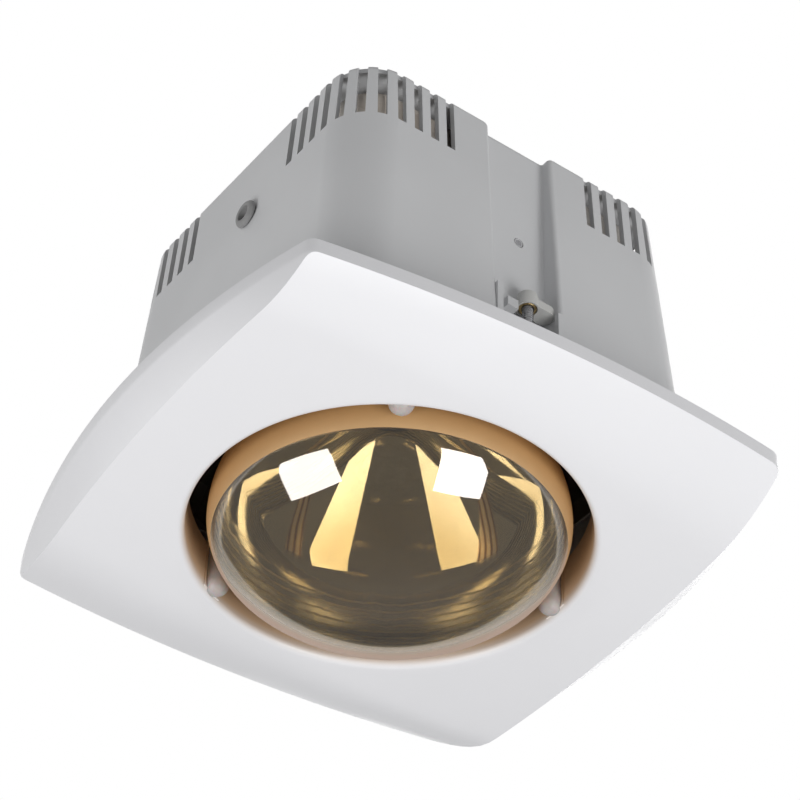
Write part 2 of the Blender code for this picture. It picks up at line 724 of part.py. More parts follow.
def outline_spot(distance):
    # Place and outward direction on the top outline, at a distance along it from the middle of
    # the near right corner's round
    flat = HOUSING_HALF_TOP - HOUSING_CORNER
    half_arc = HOUSING_CORNER * math.pi / 4
    centre = Vector((flat, -flat, 0.0))
    if abs(distance) <= half_arc:
        angle = -math.pi / 4 + distance / HOUSING_CORNER
        outward = Vector((math.cos(angle), math.sin(angle), 0.0))
        return centre + HOUSING_CORNER * outward, outward
    beyond = abs(distance) - half_arc
    if distance > 0:
        return Vector((HOUSING_HALF_TOP, -flat + beyond, 0.0)), Vector((1.0, 0.0, 0.0))
    return Vector((flat - beyond, -HOUSING_HALF_TOP, 0.0)), Vector((0.0, -1.0, 0.0))


def slot_cuts(shape):
    # The same fan of slots round each corner, cut through the wall and the round top edge
    shift = Matrix.Translation((HOUSING_SHIFT, 0.0, 0.0))
    drawn_out = HOUSING_DRAFT_SLOPE * (HOUSING_TOP - SLOT_BOTTOM) + CUT_OVERRUN
    for corner in range(4):
        turn = shift @ Matrix.Rotation(corner * math.pi / 2, 4, "Z")
        for index in range(SLOTS_PER_CORNER):
            distance = (index - (SLOTS_PER_CORNER - 1) / 2) * SLOT_PITCH
            spot, outward = outline_spot(distance)
            aim = Matrix.Rotation(math.atan2(outward.y, outward.x), 4, "Z")
            frame = turn @ Matrix.Translation(spot) @ aim
            low = (-HOUSING_WALL - GAP, -SLOT_WIDTH / 2, SLOT_BOTTOM)
            high = (drawn_out, SLOT_WIDTH / 2, HOUSING_TOP + CUT_OVERRUN)
            add_box(shape, low, high, frame)


def faces_y():
    # The two channel faces: the front one as modelled, the rear one half a turn round
    shift = Matrix.Translation((HOUSING_SHIFT, 0.0, 0.0))
    return {"front": shift, "rear": shift @ Matrix.Rotation(math.pi, 4, "Z")}


def build_housing():
    housing = place_object("housing", close_mesh("housing", housing_shell()), "grey_plastic")
    added = bmesh.new()
    for frame in faces_y().values():
        front = housing_half(LIP_TOP) + LIP_PROUD
        for side in (-1, 1):
            edges = sorted((side * (CHANNEL_SIDE + EMBED), side * (CHANNEL_SIDE - LIP_WIDTH)))
            low = (edges[0], -front, LEDGE_TOP - EMBED)
            high = (edges[1], -front + LIP_DEPTH, LIP_TOP)
            add_box(added, low, high, frame)
        stop_right = CLAMP_OFFSET_X - DOG_BOSS_RADIUS - GAP
        low = (stop_right - STOP_WIDTH, -CHANNEL_FLOOR - STOP_DEPTH, STOP_TOP - STOP_HEIGHT)
        high = (stop_right, -CHANNEL_FLOOR + EMBED, STOP_TOP)
        add_box(added, low, high, frame)
    use_tool(housing, tool_object("housing_lips", added), "UNION")

    cuts = bmesh.new()
    slot_cuts(cuts)
    for frame in faces_y().values():
        screw_hole = frame @ Matrix.Translation((CLAMP_OFFSET_X, -CLAMP_AXIS_Y, 0.0))
        start = LEDGE_UNDERSIDE - CUT_OVERRUN
        end = LEDGE_TOP + CUT_OVERRUN
        add_rod(cuts, CLAMP_SCREW_RADIUS + GAP, start, end, SCREW_SEGMENTS, screw_hole)
        side_hole = frame @ side_screw_frame()
        add_rod(cuts, SIDE_SCREW_RADIUS + GAP, -HOUSING_WALL - GAP / 2, CUT_OVERRUN,
                SCREW_SEGMENTS, side_hole)
    inlet = inlet_frame()
    add_rod(cuts, INLET_BODY_RADIUS + GAP, -HOUSING_WALL - CUT_OVERRUN / 2, CUT_OVERRUN,
            SCREW_SEGMENTS, inlet)
    use_tool(housing, tool_object("housing_cuts", cuts), "DIFFERENCE")
    return housing


def side_screw_frame():
    # Points out of the channel floor, with its foot on the floor
    return sideways_frame(CLAMP_OFFSET_X, -CHANNEL_FLOOR, SIDE_SCREW_HEIGHT, (0.0, -1.0, 0.0))


def inlet_frame():
    # Points out of the -X face, with its foot on the face at the inlet's height
    x = HOUSING_SHIFT - housing_half(INLET_HEIGHT)
    return sideways_frame(x, INLET_Y, INLET_HEIGHT, (-1.0, 0.0, 0.0))


def build_clamp(name, frame):
    # The screw hangs by its head under the ledge and turns in it; the dog rides up and down it
    place = frame @ Vector((CLAMP_OFFSET_X, -CLAMP_AXIS_Y, 0.0))
    axis = place_axis("clamp_axis_" + name, place, frame.to_euler().z)
    head_top = LEDGE_UNDERSIDE - GAP
    head_bottom = head_top - CLAMP_HEAD_HEIGHT
    tip_round = CLAMP_SCREW_RADIUS / 2
    shank_top = CLAMP_SCREW_TOP - CLAMP_SCREW_RADIUS
    profile = [
        (0.0, head_bottom),
        (CLAMP_HEAD_RADIUS - tip_round, head_bottom),
        (CLAMP_HEAD_RADIUS, head_bottom + tip_round),
        (CLAMP_HEAD_RADIUS, head_top),
        (CLAMP_SCREW_RADIUS, head_top),
        (CLAMP_SCREW_RADIUS, shank_top),
        (tip_round, shank_top + tip_round),
        (0.0, CLAMP_SCREW_TOP),
    ]
    turned("clamp_screw_" + name, profile, SCREW_SEGMENTS, "zinc_screw", axis)

    boss = bmesh.new()
    boss_profile = [
        (0.0, DOG_ARM_BOTTOM),
        (DOG_BOSS_RADIUS, DOG_ARM_BOTTOM),
        (DOG_BOSS_RADIUS, DOG_ARM_BOTTOM + DOG_ARM_HEIGHT),
        (DOG_BOSS_TOP_RADIUS, DOG_ARM_BOTTOM + DOG_BOSS_HEIGHT),
        (0.0, DOG_ARM_BOTTOM + DOG_BOSS_HEIGHT),
    ]
    turn_profile(boss, boss_profile, 2 * SCREW_SEGMENTS)
    dog_name = "clamp_dog_" + name
    dog = place_object(dog_name, close_mesh(dog_name, boss), "clamp_plastic", axis)
    arm = bmesh.new()
    outline = [Vector((0.0, -DOG_ARM_WIDTH / 2, 0.0))]
    centre = DOG_ARM_LENGTH - DOG_ARM_WIDTH / 2
    for step in range(DOG_ARM_STEPS + 1):
        angle = -math.pi / 2 + math.pi * step / DOG_ARM_STEPS
        x = centre + DOG_ARM_WIDTH / 2 * math.cos(angle)
        outline.append(Vector((x, DOG_ARM_WIDTH / 2 * math.sin(angle), 0.0)))
    outline.append(Vector((0.0, DOG_ARM_WIDTH / 2, 0.0)))
    arm_top = DOG_ARM_BOTTOM + DOG_ARM_HEIGHT - EMBED
    rows = loft(arm, [at_level(outline, DOG_ARM_BOTTOM), at_level(outline, arm_top)])
    arm.faces.new(rows[0])
    arm.faces.new(rows[1])
    arm_tool = tool_object("clamp_arm_" + name, arm)
    arm_tool.parent = axis
    use_tool(dog, arm_tool, "UNION")
    bore = bmesh.new()
    insert_top = DOG_ARM_BOTTOM + INSERT_HEIGHT
    screw_bore = CLAMP_SCREW_RADIUS + GAP
    bore_profile = [
        (0.0, DOG_ARM_BOTTOM - CUT_OVERRUN),
        (INSERT_RADIUS + GAP, DOG_ARM_BOTTOM - CUT_OVERRUN),
        (INSERT_RADIUS + GAP, insert_top + GAP),
        (screw_bore, insert_top + GAP),
        (screw_bore, DOG_ARM_BOTTOM + DOG_BOSS_HEIGHT + CUT_OVERRUN),
        (0.0, DOG_ARM_BOTTOM + DOG_BOSS_HEIGHT + CUT_OVERRUN),
    ]
    turn_profile(bore, bore_profile, SCREW_SEGMENTS)
    bore_tool = tool_object("clamp_bore_" + name, bore)
    bore_tool.parent = axis
    use_tool(dog, bore_tool, "DIFFERENCE")

    # The brass insert that the dog turns on and that the screw's thread draws down
    insert = [
        (screw_bore, DOG_ARM_BOTTOM),
        (INSERT_RADIUS, DOG_ARM_BOTTOM),
        (INSERT_RADIUS, insert_top),
        (screw_bore, insert_top),
    ]
    turned("clamp_insert_" + name, insert, SCREW_SEGMENTS, "brass", axis)


def build_chamber():
    # A folded steel can, open below, hung inside the housing; its top plate carries the lampholder
    shape = bmesh.new()

    def ring(inset, level):
        outline = box_outline(CHAMBER_HALF_X - inset, CHAMBER_HALF_Y - inset,
                              CHAMBER_CORNER - inset, CHAMBER_CORNER_STEPS)
        return at_level(outline, level)

    rings = [
        ring(0.0, CHAMBER_TOP),
        ring(0.0, CHAMBER_BOTTOM),
        ring(CHAMBER_SHEET, CHAMBER_BOTTOM),
        ring(CHAMBER_SHEET, PLATE_UNDERSIDE),
    ]
    rows = loft(shape, rings)
    shape.faces.new(rows[0])
    shape.faces.new(rows[-1])
    chamber = place_object("lamp_chamber", close_mesh("lamp_chamber", shape), "steel_sheet")
    cuts = bmesh.new()
    for frame in faces_y().values():
        depth = -HOUSING_WALL - CHAMBER_SHEET - CUT_OVERRUN
        add_rod(cuts, SIDE_SCREW_RADIUS + GAP, depth, -HOUSING_WALL, SCREW_SEGMENTS,
                frame @ side_screw_frame())
    for x, y in plate_screw_places().values():
        add_rod(cuts, PLATE_SCREW_RADIUS + GAP, PLATE_UNDERSIDE - CUT_OVERRUN,
                CHAMBER_TOP + CUT_OVERRUN, SCREW_SEGMENTS, Matrix.Translation((x, y, 0.0)))
    add_rod(cuts, INLET_BODY_RADIUS + GAP, -INLET_TAIL - CUT_OVERRUN, -HOUSING_WALL - GAP,
            SCREW_SEGMENTS, inlet_frame())
    use_tool(chamber, tool_object("chamber_cuts", cuts), "DIFFERENCE")
    return chamber


def plate_screw_places():
    # Where machine screws pass through the chamber's top plate
    return {
        "lampholder_screw_left": (0.0, HOLDER_SCREW_CIRCLE),
        "lampholder_screw_right": (0.0, -HOLDER_SCREW_CIRCLE),
        "terminal_block_screw": (BLOCK_CENTRE_X, BLOCK_WAY_PITCH / 2),
        "earth_screw": (BLOCK_CENTRE_X, EARTH_Y),
    }


def build_side_screws():
    # Pan heads in the channels; the shanks pass the housing wall into the chamber's side
    profile = [
        (0.0, GAP + SIDE_SCREW_HEAD_HEIGHT),
        (SIDE_SCREW_HEAD_RADIUS / 2, GAP + SIDE_SCREW_HEAD_HEIGHT),
        (SIDE_SCREW_HEAD_RADIUS, GAP + SIDE_SCREW_HEAD_HEIGHT / 2),
        (SIDE_SCREW_HEAD_RADIUS, GAP),
        (SIDE_SCREW_RADIUS, GAP),
        (SIDE_SCREW_RADIUS, GAP - SIDE_SCREW_LENGTH + SIDE_SCREW_RADIUS),
        (0.0, GAP - SIDE_SCREW_LENGTH),
    ]
    for name, frame in faces_y().items():
        turned("chamber_screw_" + name, profile, SCREW_SEGMENTS, "zinc_screw",
               frame=frame @ side_screw_frame())


def build_plate_screws():
    # Heads above the plate, except the earth screw, which is put in from below
    above = CHAMBER_TOP + GAP
    for name, (x, y) in plate_screw_places().items():
        head_start = above
        head_end = above + PLATE_SCREW_HEAD_HEIGHT
        tip = HOLDER_TOP - HOLDER_SCREW_DEPTH
        if name == "earth_screw":
            head_start = BLOCK_TOP - EARTH_TAG_THICKNESS - GAP
            head_end = head_start - PLATE_SCREW_HEAD_HEIGHT
            tip = CHAMBER_TOP + PLATE_SCREW_HEAD_HEIGHT
        profile = [
            (0.0, head_end),
            (PLATE_SCREW_HEAD_RADIUS, head_end),
            (PLATE_SCREW_HEAD_RADIUS, head_start),
            (PLATE_SCREW_RADIUS, head_start),
            (PLATE_SCREW_RADIUS, tip),
            (0.0, tip),
        ]
        turned(name, profile, SCREW_SEGMENTS, "zinc_screw", frame=Matrix.Translation((x, y, 0.0)))


def bulb_outer_profile():
    # From the crown to the tail: a large arc, the round shoulder, the dish, its cone and the neck
    centre = BULB_RADIUS - BULB_SHOULDER_RADIUS
    crown_centre = BULB_WIDEST + math.sqrt(
        (BULB_CROWN_RADIUS - BULB_SHOULDER_RADIUS) ** 2 - centre ** 2
    )
    meet = math.atan2(centre, crown_centre - BULB_WIDEST)
    points = [(0.0, crown_centre - BULB_CROWN_RADIUS)]
    for step in range(1, CROWN_STEPS + 1):
        angle = meet * step / CROWN_STEPS
        points.append((BULB_CROWN_RADIUS * math.sin(angle),
                       crown_centre - BULB_CROWN_RADIUS * math.cos(angle)))
    for step in range(1, SHOULDER_STEPS + 1):
        angle = meet + (math.pi / 2 - meet) * step / SHOULDER_STEPS
        points.append((centre + BULB_SHOULDER_RADIUS * math.sin(angle),
                       BULB_WIDEST - BULB_SHOULDER_RADIUS * math.cos(angle)))
    for step in range(1, BACK_STEPS + 1):
        angle = BULB_CONE_ANGLE * step / BACK_STEPS
        points.append((BULB_RADIUS - BULB_DISH_RADIUS * (1 - math.cos(angle)),
                       BULB_WIDEST + BULB_DISH_RADIUS * math.sin(angle)))
    cone_top = Vector(points[-1])
    cone_height = (cone_top.x - BULB_NECK_RADIUS) / math.tan(BULB_CONE_ANGLE)
    corner = Vector((BULB_NECK_RADIUS, cone_top.y + cone_height))
    before = corner.lerp(cone_top, BULB_NECK_FILLET / (cone_top - corner).length)
    after = Vector((corner.x, corner.y + BULB_NECK_FILLET))
    for step in range(NECK_STEPS + 1):
        share = step / NECK_STEPS
        bend = before.lerp(corner, share).lerp(corner.lerp(after, share), share)
        points.append((bend.x, bend.y))
    points.append((BULB_NECK_RADIUS - GLASS_THICKNESS / 2, BULB_NECK_TOP))
    points.append((BULB_TAIL_RADIUS, BULB_TAIL_START))
    points.append((BULB_TAIL_RADIUS, BULB_TAIL_TOP))
    return points


def drawn_in(profile, inset):
    # The same profile moved inwards along its own normals; the ends keep their level or radius
    moved = []
    for index, (radius, level) in enumerate(profile):
        before = profile[max(index - 1, 0)]
        after = profile[min(index + 1, len(profile) - 1)]
        run = Vector((after[0] - before[0], after[1] - before[1])).normalized()
        if index == 0:
            moved.append((0.0, level + inset))
        elif index == len(profile) - 1:
            moved.append((radius - inset, level))
        else:
            moved.append((radius - inset * run.y, level + inset * run.x))
    return moved


def build_bulb(axis):
    outer = bulb_outer_profile()
    inner = drawn_in(outer, GLASS_THICKNESS)
    shape = bmesh.new()
    turn_profile(shape, outer + list(reversed(inner)), BULB_SEGMENTS)
    bulb = place_object("bulb_glass", close_mesh("bulb_glass", shape), "clear_glass", axis)

    # The mirror lies inside the glass, from just below the widest circle up into the neck
    lining = [
        point for point in drawn_in(outer, GLASS_THICKNESS + GAP)
        if MIRROR_EDGE < point[1] < MIRROR_TOP
    ]
    backing = [
        point for point in drawn_in(outer, GLASS_THICKNESS + GAP + MIRROR_THICKNESS)
        if MIRROR_EDGE < point[1] < MIRROR_TOP
    ]
    count = min(len(lining), len(backing))
    turned("bulb_mirror", lining[-count:] + list(reversed(backing[-count:])), BULB_SEGMENTS,
           "bulb_mirror", axis)
    return bulb


def build_bulb_cap(axis):
    # The threaded shell is a tube round the neck's tail, with rounded thread turns
    step = (CAP_TOP - CAP_BOTTOM) / (2 * CAP_THREADS)
    outside = []
    for index in range(2 * CAP_THREADS + 1):
        depth = CAP_THREAD_DEPTH if index % 2 else 0.0
        outside.append((CAP_RADIUS - depth, CAP_BOTTOM + step * index))
    profile = outside + [(CAP_INNER_RADIUS, CAP_TOP), (CAP_INNER_RADIUS, CAP_BOTTOM)]
    turned("bulb_cap_shell", profile, CAP_SEGMENTS, "nickel_cap", axis)

    insulator = [
        (0.0, CAP_TOP + GAP),
        (CAP_INNER_RADIUS, CAP_TOP + GAP),
        (INSULATOR_TOP_RADIUS, INSULATOR_TOP),
        (0.0, INSULATOR_TOP),
    ]
    turned("bulb_cap_insulator", insulator, CAP_SEGMENTS, "black_glass", axis)
    tip = [
        (0.0, INSULATOR_TOP + GAP),
        (TIP_RADIUS, INSULATOR_TOP + GAP),
        (TIP_RADIUS, (INSULATOR_TOP + TIP_TOP) / 2),
        (TIP_RADIUS / 2, TIP_TOP),
        (0.0, TIP_TOP),
    ]
    turned("bulb_cap_contact", tip, CAP_SEGMENTS, "solder", axis)


def build_filament(axis):
    stem_base = BULB_TAIL_RADIUS - GLASS_THICKNESS - GAP
    stem = [
        (0.0, STEM_TOP),
        (stem_base, STEM_TOP),
        (STEM_RADIUS, STEM_TOP - STEM_FLARE_HEIGHT),
        (STEM_TIP_RADIUS, STEM_BOTTOM),
        (0.0, STEM_BOTTOM),
    ]
    turned("bulb_stem", stem, SCREW_SEGMENTS, "clear_glass", axis)
    lead_top = STEM_BOTTOM - GAP
    start = math.pi / 2 + FILAMENT_OPEN_ANGLE / 2
    sweep = 2 * math.pi - FILAMENT_OPEN_ANGLE
    ring = []
    for index in range(FILAMENT_POINTS):
        angle = start + sweep * index / (FILAMENT_POINTS - 1)
        ring.append(Vector((FILAMENT_RING * math.cos(angle), FILAMENT_RING * math.sin(angle),
                            FILAMENT_HEIGHT)))
    place_tube("filament", ring, FILAMENT_RADIUS, "tungsten", axis)
    ends = {"left": (ring[0], -1), "right": (ring[-1], 1)}
    for name, (end, side) in ends.items():
        foot = Vector((side * STEM_TIP_RADIUS / 2, 0.0, lead_top))
        seat = end + Vector((0.0, 0.0, FILAMENT_RADIUS + GAP))
        bow = Vector((end.x, end.y, (foot.z + seat.z) / 2))
        place_tube("filament_lead_" + name, curve_through(foot, bow, seat, WIRE_POINTS),
                   LEAD_RADIUS, "lead_nickel", axis)


def curve_through(start, middle, end, count):
    # A smooth run from start to end, bent towards the middle point
    points = []
    for index in range(count):
        share = index / (count - 1)
        first = start.lerp(middle, share)
        second = middle.lerp(end, share)
        points.append(first.lerp(second, share))
    return points


def place_tube(name, points, radius, finish, parent=None):
    data = bpy.data.curves.new(name, "CURVE")
    data.dimensions = "3D"
    data.bevel_depth = radius
    data.bevel_resolution = TUBE_STEPS
    data.use_fill_caps = True
    spline = data.splines.new("POLY")
    spline.points.add(len(points) - 1)
    for target, point in zip(spline.points, points):
        target.co = (*point, 1.0)
    item = place_object(name, data, finish, parent)
    return item


def build_lampholder():
    pocket_top = HOLDER_TOP - HOLDER_BACK
    profile = [
        (0.0, HOLDER_TOP),
        (HOLDER_RADIUS - HOLDER_LIP_CHAMFER, HOLDER_TOP),
        (HOLDER_RADIUS, HOLDER_TOP - HOLDER_LIP_CHAMFER),
        (HOLDER_RADIUS, HOLDER_MOUTH + HOLDER_LIP_CHAMFER),
        (HOLDER_RADIUS - HOLDER_LIP_CHAMFER, HOLDER_MOUTH),
        (HOLDER_MOUTH_RADIUS, HOLDER_MOUTH),
        (HOLDER_MOUTH_RADIUS, HOLDER_MOUTH + HOLDER_MOUTH_DEPTH),
        (HOLDER_BORE_RADIUS, HOLDER_MOUTH + HOLDER_MOUTH_DEPTH),
        (HOLDER_BORE_RADIUS, HOLDER_BORE_TOP),
        (HOLDER_POCKET_RADIUS, HOLDER_BORE_TOP),
        (HOLDER_POCKET_RADIUS, pocket_top),
        (0.0, pocket_top),
    ]
    body = turned("lampholder_body", profile, HOLDER_SEGMENTS, "ceramic")
    cuts = bmesh.new()
    for side in (-1, 1):
        place = Matrix.Translation((0.0, side * HOLDER_SCREW_CIRCLE, 0.0))
        add_rod(cuts, PLATE_SCREW_RADIUS + GAP, HOLDER_TOP - HOLDER_SCREW_DEPTH - GAP,
                HOLDER_TOP + CUT_OVERRUN, SCREW_SEGMENTS, place)
    use_tool(body, tool_object("lampholder_cuts", cuts), "DIFFERENCE")

    shell_inner = CAP_RADIUS + HOLDER_SHELL_CLEARANCE
    shell = [
        (shell_inner, HOLDER_SHELL_BOTTOM),
        (shell_inner + HOLDER_SHELL_WALL, HOLDER_SHELL_BOTTOM),
        (shell_inner + HOLDER_SHELL_WALL, HOLDER_SHELL_TOP),
        (shell_inner, HOLDER_SHELL_TOP),
    ]
    turned("lampholder_shell", shell, CAP_SEGMENTS, "brass")
    contact = [
        (0.0, TIP_TOP + GAP),
        (HOLDER_CONTACT_RADIUS, TIP_TOP + GAP),
        (HOLDER_CONTACT_RADIUS, TIP_TOP + GAP + HOLDER_CONTACT_THICKNESS),
        (0.0, TIP_TOP + GAP + HOLDER_CONTACT_THICKNESS),
    ]
    turned("lampholder_contact", contact, SCREW_SEGMENTS, "brass")


def way_places():
    # The three ways of the terminal block, neutral, live and earth, by their Y
    return {
        "neutral": -BLOCK_WAY_PITCH,
        "live": 0.0,
        "earth": BLOCK_WAY_PITCH,
    }


def build_terminal_block():
    shape = bmesh.new()
    half_x = BLOCK_SIZE_X / 2
    half_y = BLOCK_SIZE_Y / 2
    add_box(shape, (BLOCK_CENTRE_X - half_x, -half_y, BLOCK_BOTTOM),
            (BLOCK_CENTRE_X + half_x, half_y, BLOCK_TOP))
    mesh = close_mesh("terminal_block", shape, smooth=False)
    block = place_object("terminal_block", mesh, "ceramic")
    cuts = bmesh.new()
    for y in way_places().values():
        way = sideways_frame(BLOCK_CENTRE_X + half_x, y, WIRE_LEVEL, (1.0, 0.0, 0.0))
        add_rod(cuts, BLOCK_WAY_RADIUS, -BLOCK_WAY_DEPTH, CUT_OVERRUN, SCREW_SEGMENTS, way)
        pocket = Matrix.Translation((BLOCK_CENTRE_X, y, 0.0))
        add_rod(cuts, BLOCK_POCKET_RADIUS, BLOCK_BOTTOM - CUT_OVERRUN,
                BLOCK_BOTTOM + BLOCK_POCKET_DEPTH, SCREW_SEGMENTS, pocket)
    x, y = plate_screw_places()["terminal_block_screw"]
    add_rod(cuts, PLATE_SCREW_RADIUS + GAP, HOLDER_TOP - HOLDER_SCREW_DEPTH - GAP,
            BLOCK_TOP + CUT_OVERRUN, SCREW_SEGMENTS, Matrix.Translation((x, y, 0.0)))
    use_tool(block, tool_object("terminal_cuts", cuts), "DIFFERENCE")

    for name, y in way_places().items():
        top = BLOCK_BOTTOM + BLOCK_POCKET_DEPTH - GAP
        profile = [
            (0.0, top),
            (BLOCK_POCKET_RADIUS - GAP, top),
            (BLOCK_POCKET_RADIUS - GAP, top - BLOCK_POCKET_DEPTH / 2),
            (0.0, top - BLOCK_POCKET_DEPTH / 2),
        ]
        turned("terminal_screw_" + name, profile, SCREW_SEGMENTS, "brass",
               frame=Matrix.Translation((BLOCK_CENTRE_X, y, 0.0)))


def build_earth_tag():
    # A ring tag with a short tail that the earth wire's end lies against
    top = BLOCK_TOP
    bottom = top - EARTH_TAG_THICKNESS
    shape = bmesh.new()
    add_rod(shape, EARTH_TAG_RADIUS, bottom, top, SCREW_SEGMENTS,
            Matrix.Translation((BLOCK_CENTRE_X, EARTH_Y, 0.0)))
    tag = place_object("earth_tag", close_mesh("earth_tag", shape), "brass")
    tail = bmesh.new()
    half = EARTH_TAG_TAIL_WIDTH / 2
    add_box(tail, (BLOCK_CENTRE_X, EARTH_Y - half, bottom),
            (BLOCK_CENTRE_X + EARTH_TAG_TAIL, EARTH_Y + half, top))
    use_tool(tag, tool_object("earth_tag_tail", tail), "UNION")
    hole = bmesh.new()
    add_rod(hole, PLATE_SCREW_RADIUS + GAP, bottom - CUT_OVERRUN, top + CUT_OVERRUN,
            SCREW_SEGMENTS, Matrix.Translation((BLOCK_CENTRE_X, EARTH_Y, 0.0)))
    use_tool(tag, tool_object("earth_tag_hole", hole), "DIFFERENCE")


def build_wires():
    # Live and neutral dip from their ways to the lampholder's side; earth turns to its tag
    face = BLOCK_CENTRE_X + BLOCK_SIZE_X / 2
    seat = face - BLOCK_WAY_DEPTH + GAP
    for name, finish in (("neutral", "wire_blue"), ("live", "wire_brown")):
        y = way_places()[name]
        reach = HOLDER_RADIUS + GAP + WIRE_RADIUS / 2
        end_x = -math.sqrt(reach ** 2 - y ** 2)
        start = Vector((seat, y, WIRE_LEVEL))
        knee = Vector((face + (end_x - face) / 2, y, WIRE_LEVEL))
        end = Vector((end_x, y, WIRE_LEVEL - WIRE_DIP))
        low = Vector((knee.x, y, end.z))
        points = curve_bezier(start, knee, low, end, WIRE_POINTS)
        place_tube(name + "_wire", points, WIRE_RADIUS, finish)
    y = way_places()["earth"]
    tag_end = BLOCK_CENTRE_X + EARTH_TAG_TAIL - EARTH_TAG_TAIL_WIDTH / 2
    start = Vector((seat, y, WIRE_LEVEL))
    out = Vector((face + WIRE_DIP + BLOCK_WAY_DEPTH, y, WIRE_LEVEL))
    above = Vector((face + WIRE_DIP + BLOCK_WAY_DEPTH, EARTH_Y, WIRE_LEVEL))
    level = BLOCK_TOP - EARTH_TAG_THICKNESS - GAP - WIRE_RADIUS
    end = Vector((tag_end, EARTH_Y, level))
    place_tube("earth_wire", curve_bezier(start, out, above, end, WIRE_POINTS), WIRE_RADIUS,
               "wire_green")


def curve_bezier(start, first, second, end, count):
    points = []
    for index in range(count):
        share = index / (count - 1)
        rest = 1 - share
        points.append(start * rest ** 3 + first * (3 * rest * rest * share)
                      + second * (3 * rest * share * share) + end * share ** 3)
    return points


def build_inlet():
    # A bush through the housing and the chamber's side, with its nut inside the chamber
    frame = inlet_frame()
    draft_gap = GAP + HOUSING_DRAFT_SLOPE * INLET_FLANGE_RADIUS
    inner_end = -HOUSING_WALL - INLET_TAIL
    bush = [
        (INLET_BORE_RADIUS, draft_gap + INLET_FLANGE_THICKNESS),
        (INLET_FLANGE_RADIUS - INLET_FLANGE_THICKNESS / 2, draft_gap + INLET_FLANGE_THICKNESS),
        (INLET_FLANGE_RADIUS, draft_gap + INLET_FLANGE_THICKNESS / 2),
        (INLET_FLANGE_RADIUS, draft_gap),
        (INLET_BODY_RADIUS, draft_gap),
        (INLET_BODY_RADIUS, inner_end),
        (INLET_BORE_RADIUS, inner_end),
    ]
    turned("cable_bush", bush, CAP_SEGMENTS, "black_rubber", frame=frame)
    wall_side = CHAMBER_HALF_X - CHAMBER_SHEET - housing_half(INLET_HEIGHT) - GAP
    nut_bore = (INLET_BODY_RADIUS + GAP) / math.cos(math.pi / INLET_NUT_SIDES)
    nut = [
        (nut_bore, wall_side),
        (INLET_NUT_RADIUS, wall_side),
        (INLET_NUT_RADIUS, wall_side - INLET_NUT_THICKNESS),
        (nut_bore, wall_side - INLET_NUT_THICKNESS),
    ]
    turned("cable_bush_nut", nut, INLET_NUT_SIDES, "grey_plastic", frame=frame)


def main():
    clear_scene()
    build_housing()
    build_chamber()
    build_side_screws()
    build_plate_screws()
    build_lampholder()
    build_terminal_block()
    build_earth_tag()
    build_wires()
    build_inlet()
    for name, frame in faces_y().items():
        build_clamp(name, frame)
    fascia_axis = place_axis("fascia_axis", (0.0, 0.0, 0.0))
    build_fascia(fascia_axis)
    build_pegs(fascia_axis)
    bulb_axis = place_axis("bulb_axis", (0.0, 0.0, 0.0))
    build_bulb(bulb_axis)
    build_bulb_cap(bulb_axis)
    build_filament(bulb_axis)


main()
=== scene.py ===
# Recessed bathroom heat lamp: the visual model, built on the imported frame.
# Metres, +Z up into the ceiling void. The ceiling is z = 0 and the bulb's axis is x = y = 0.

import math

import bmesh
import bpy
from mathutils import Matrix, Vector


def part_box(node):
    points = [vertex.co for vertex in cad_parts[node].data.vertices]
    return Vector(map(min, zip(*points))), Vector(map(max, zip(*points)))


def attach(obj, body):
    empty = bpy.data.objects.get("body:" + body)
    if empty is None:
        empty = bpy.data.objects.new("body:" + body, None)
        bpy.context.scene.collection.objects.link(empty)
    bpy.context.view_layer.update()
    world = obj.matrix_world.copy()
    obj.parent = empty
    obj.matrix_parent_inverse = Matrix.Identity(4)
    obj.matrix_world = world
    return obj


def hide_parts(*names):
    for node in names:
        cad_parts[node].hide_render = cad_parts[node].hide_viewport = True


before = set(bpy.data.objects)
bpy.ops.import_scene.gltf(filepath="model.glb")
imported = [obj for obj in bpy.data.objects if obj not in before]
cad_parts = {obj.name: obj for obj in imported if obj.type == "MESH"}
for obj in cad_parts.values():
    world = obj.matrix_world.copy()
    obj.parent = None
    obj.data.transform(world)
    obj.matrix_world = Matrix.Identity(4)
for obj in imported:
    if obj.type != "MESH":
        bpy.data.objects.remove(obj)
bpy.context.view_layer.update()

# Clearances, cuts and sizes. The forms' sizes are those of the CAD model.
GAP = 0.0003
CUT_OVERRUN = 0.003
EMBED = 0.0006
MERGE_DISTANCE = 0.00001

FASCIA_TURN_ANGLE = math.radians(-3.7)
FASCIA_HALF_CHORD_X = 0.0917
FASCIA_HALF_CHORD_Y = 0.0982
FACE_BULGE = 0.0066
CRESCENT_BULGE = 0.0162
FASCIA_DEPTH = 0.0147
RIM_HEIGHT = 0.0060
FACE_WALL = 0.0022
ROLL_NARROW = 0.0240
ROLL_WIDE = 0.0420
OPENING_RADIUS = 0.0696
OPENING_FILLET = 0.0025
COLLAR_WALL = 0.0020
COLLAR_TOP = 0.0053
SNAP_COUNT = 4
SNAP_FIRST_ANGLE = math.radians(45)
SNAP_WIDTH = 0.0100
SNAP_HEIGHT = 0.0020
SNAP_CLEARANCE = 0.0009
PEG_CIRCLE_RADIUS = 0.0673
PEG_RADIUS = 0.0044
PEG_TIP = -0.0147
PEG_SEAT_GAP = 0.00008
PEG_NECK_RADIUS = 0.0022
PEG_HEAD_RADIUS = 0.0036
PEG_HEAD_HEIGHT = 0.0016
PEG_WALL = 0.0011
PEG_ROOF_UNDERSIDE = 0.0043
PEG_ROOF_THICKNESS = 0.0024
PEG_ROOF_INNER_RADIUS = 0.0636
PEG_ANGLES = {"near": math.radians(-123), "right": math.radians(-3), "left": math.radians(117)}

